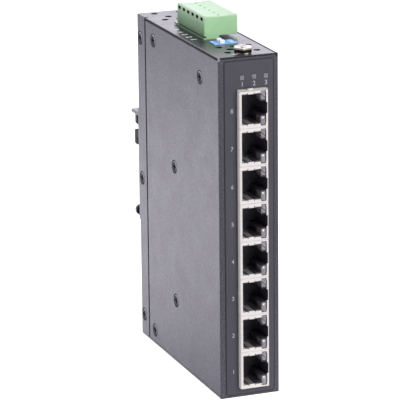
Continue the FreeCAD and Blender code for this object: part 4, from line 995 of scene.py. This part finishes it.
def make_floor():
    """A square at z = 0; its glow rises from front to back, fades again far behind, and rises to the left."""
    mesh = bpy.data.meshes.new("floor")
    h = FLOOR_HALF
    mesh.from_pydata([(-h, -h, 0), (h, -h, 0), (h, h, 0), (-h, h, 0)], [], [(0, 1, 2, 3)])
    floor = bpy.data.objects.new("floor", mesh)
    bpy.context.scene.collection.objects.link(floor)
    material, tree = new_material("floor_white")
    x, y, _ = axes(tree)
    near = ramp(tree, y, RISE_FROM, RISE_TO, FRONT_GLOW, BACK_GLOW, smooth=True)
    far = ramp(tree, y, FADE_FROM, FADE_TO, 1.0, FADE_KEEPS, smooth=True)
    left = ramp(tree, x, LEFT_TO, LEFT_FROM, LEFT_GLOW, 0.0, smooth=True)
    glow = largest(tree, product(tree, near, far), left)
    finish_material(tree, Base_Color=(0.4, 0.4, 0.4, 1.0), Roughness=0.9,
                    Emission_Color=white_to_camera(tree, glow), Emission_Strength=1.0)
    mesh.materials.append(material)
    return floor


print("floor:", make_floor().name)

# %% [markdown]
# ## Light
# The rest of the studio is the world's own light: dim in front, bright low down behind, medium above. Two
# large lamps could do that, but a world has no edge that the paint could mirror. One softbox in front and
# to the right lights the front and the jacks.

# %% World and softbox
BRIGHT_WAY = (0.34, 0.90, 0.27)
BRIGHT_EDGE, BRIGHT_CORE, BRIGHT_GLOW = 0.55, 0.95, 1.9
LOW_GLOW, HIGH_GLOW = 0.18, 0.95


def make_world():
    """Radiance by direction: a bright patch low behind, whose edge and core are cosines, and a paler top."""
    world = bpy.data.worlds.new("studio")
    bpy.context.scene.world = world
    world.use_nodes = True
    tree = world.node_tree
    tree.nodes.clear()
    way = tree.nodes.new("ShaderNodeTexCoord").outputs["Generated"]
    toward = add(tree, "ShaderNodeVectorMath", {"operation": "DOT_PRODUCT"}, i0=way, i1=BRIGHT_WAY)
    back = ramp(tree, toward.outputs["Value"], BRIGHT_EDGE, BRIGHT_CORE, 0.0, BRIGHT_GLOW, smooth=True)
    height = add(tree, "ShaderNodeSeparateXYZ", Vector=way).outputs["Z"]
    above = ramp(tree, height, 0.3, 1.0, LOW_GLOW, HIGH_GLOW, smooth=True)
    seen = white_to_camera(tree, math_node(tree, "ADD", back, above))
    light = add(tree, "ShaderNodeBackground", Color=seen, Strength=1.0)
    add(tree, "ShaderNodeOutputWorld", Surface=light.outputs[0])


def softbox(name, spot, aim, width, height, power):
    """A rectangular lamp whose minus Z axis points from its spot to its aim."""
    data = bpy.data.lights.new(name, "AREA")
    data.shape = "RECTANGLE"
    data.size, data.size_y = width, height
    data.energy = power
    lamp = bpy.data.objects.new(name, data)
    bpy.context.scene.collection.objects.link(lamp)
    spot, aim = np.array(spot, float), np.array(aim, float)
    back = (spot - aim) / np.linalg.norm(spot - aim)
    right = np.cross((0.0, 0.0, 1.0), back)
    right /= np.linalg.norm(right)
    matrix = np.eye(4)
    matrix[:3, :] = np.column_stack([right, np.cross(back, right), back, spot])
    lamp.matrix_world = Matrix(matrix.tolist())


make_world()
softbox("key_softbox", spot=(0.75, -1.5, 0.95), aim=(0.0, 0.0, 0.08), width=1.1, height=0.8, power=30.0)
bpy.context.scene.view_settings.view_transform = "Standard"
print("world and softbox ready")

# %% [markdown]
# ## Camera
# A long lens from a little over a metre away, turned to the left of the front and slightly above. A short
# lens close by would show the same sides, but long lenses keep parallel edges nearly parallel, which suits
# a box like this.

# %% Camera
AZIMUTH, ELEVATION, ROLL = (math.radians(v) for v in (-21.026, 15.796, -0.602))
DISTANCE = 1.2111
AIM = np.array((0.0, 0.0, 72.15 * MM))
SIDE_STEP, RISE = -2.956 * MM, -0.334 * MM
LENS_LENGTH = 257.75
SENSOR_WIDTH = 36.0


def make_camera():
    """Axes from azimuth and elevation, turned by the roll; the place is the aim plus the distance back."""
    back = np.array((math.sin(AZIMUTH) * math.cos(ELEVATION), -math.cos(AZIMUTH) * math.cos(ELEVATION),
                     math.sin(ELEVATION)))
    right = np.cross(-back, (0.0, 0.0, 1.0))
    right /= np.linalg.norm(right)
    up = np.cross(right, -back)
    c, s = math.cos(ROLL), math.sin(ROLL)
    right, up = c * right + s * up, -s * right + c * up
    data = bpy.data.cameras.new("camera")
    data.lens, data.sensor_width = LENS_LENGTH, SENSOR_WIDTH
    camera = bpy.data.objects.new("camera", data)
    bpy.context.scene.collection.objects.link(camera)
    matrix = np.eye(4)
    matrix[:3, :] = np.column_stack([right, up, back, AIM + back * DISTANCE + right * SIDE_STEP + up * RISE])
    camera.matrix_world = Matrix(matrix.tolist())
    bpy.context.scene.camera = camera
    return matrix[:3, 3]


print("camera at", [round(float(v), 3) for v in make_camera()])
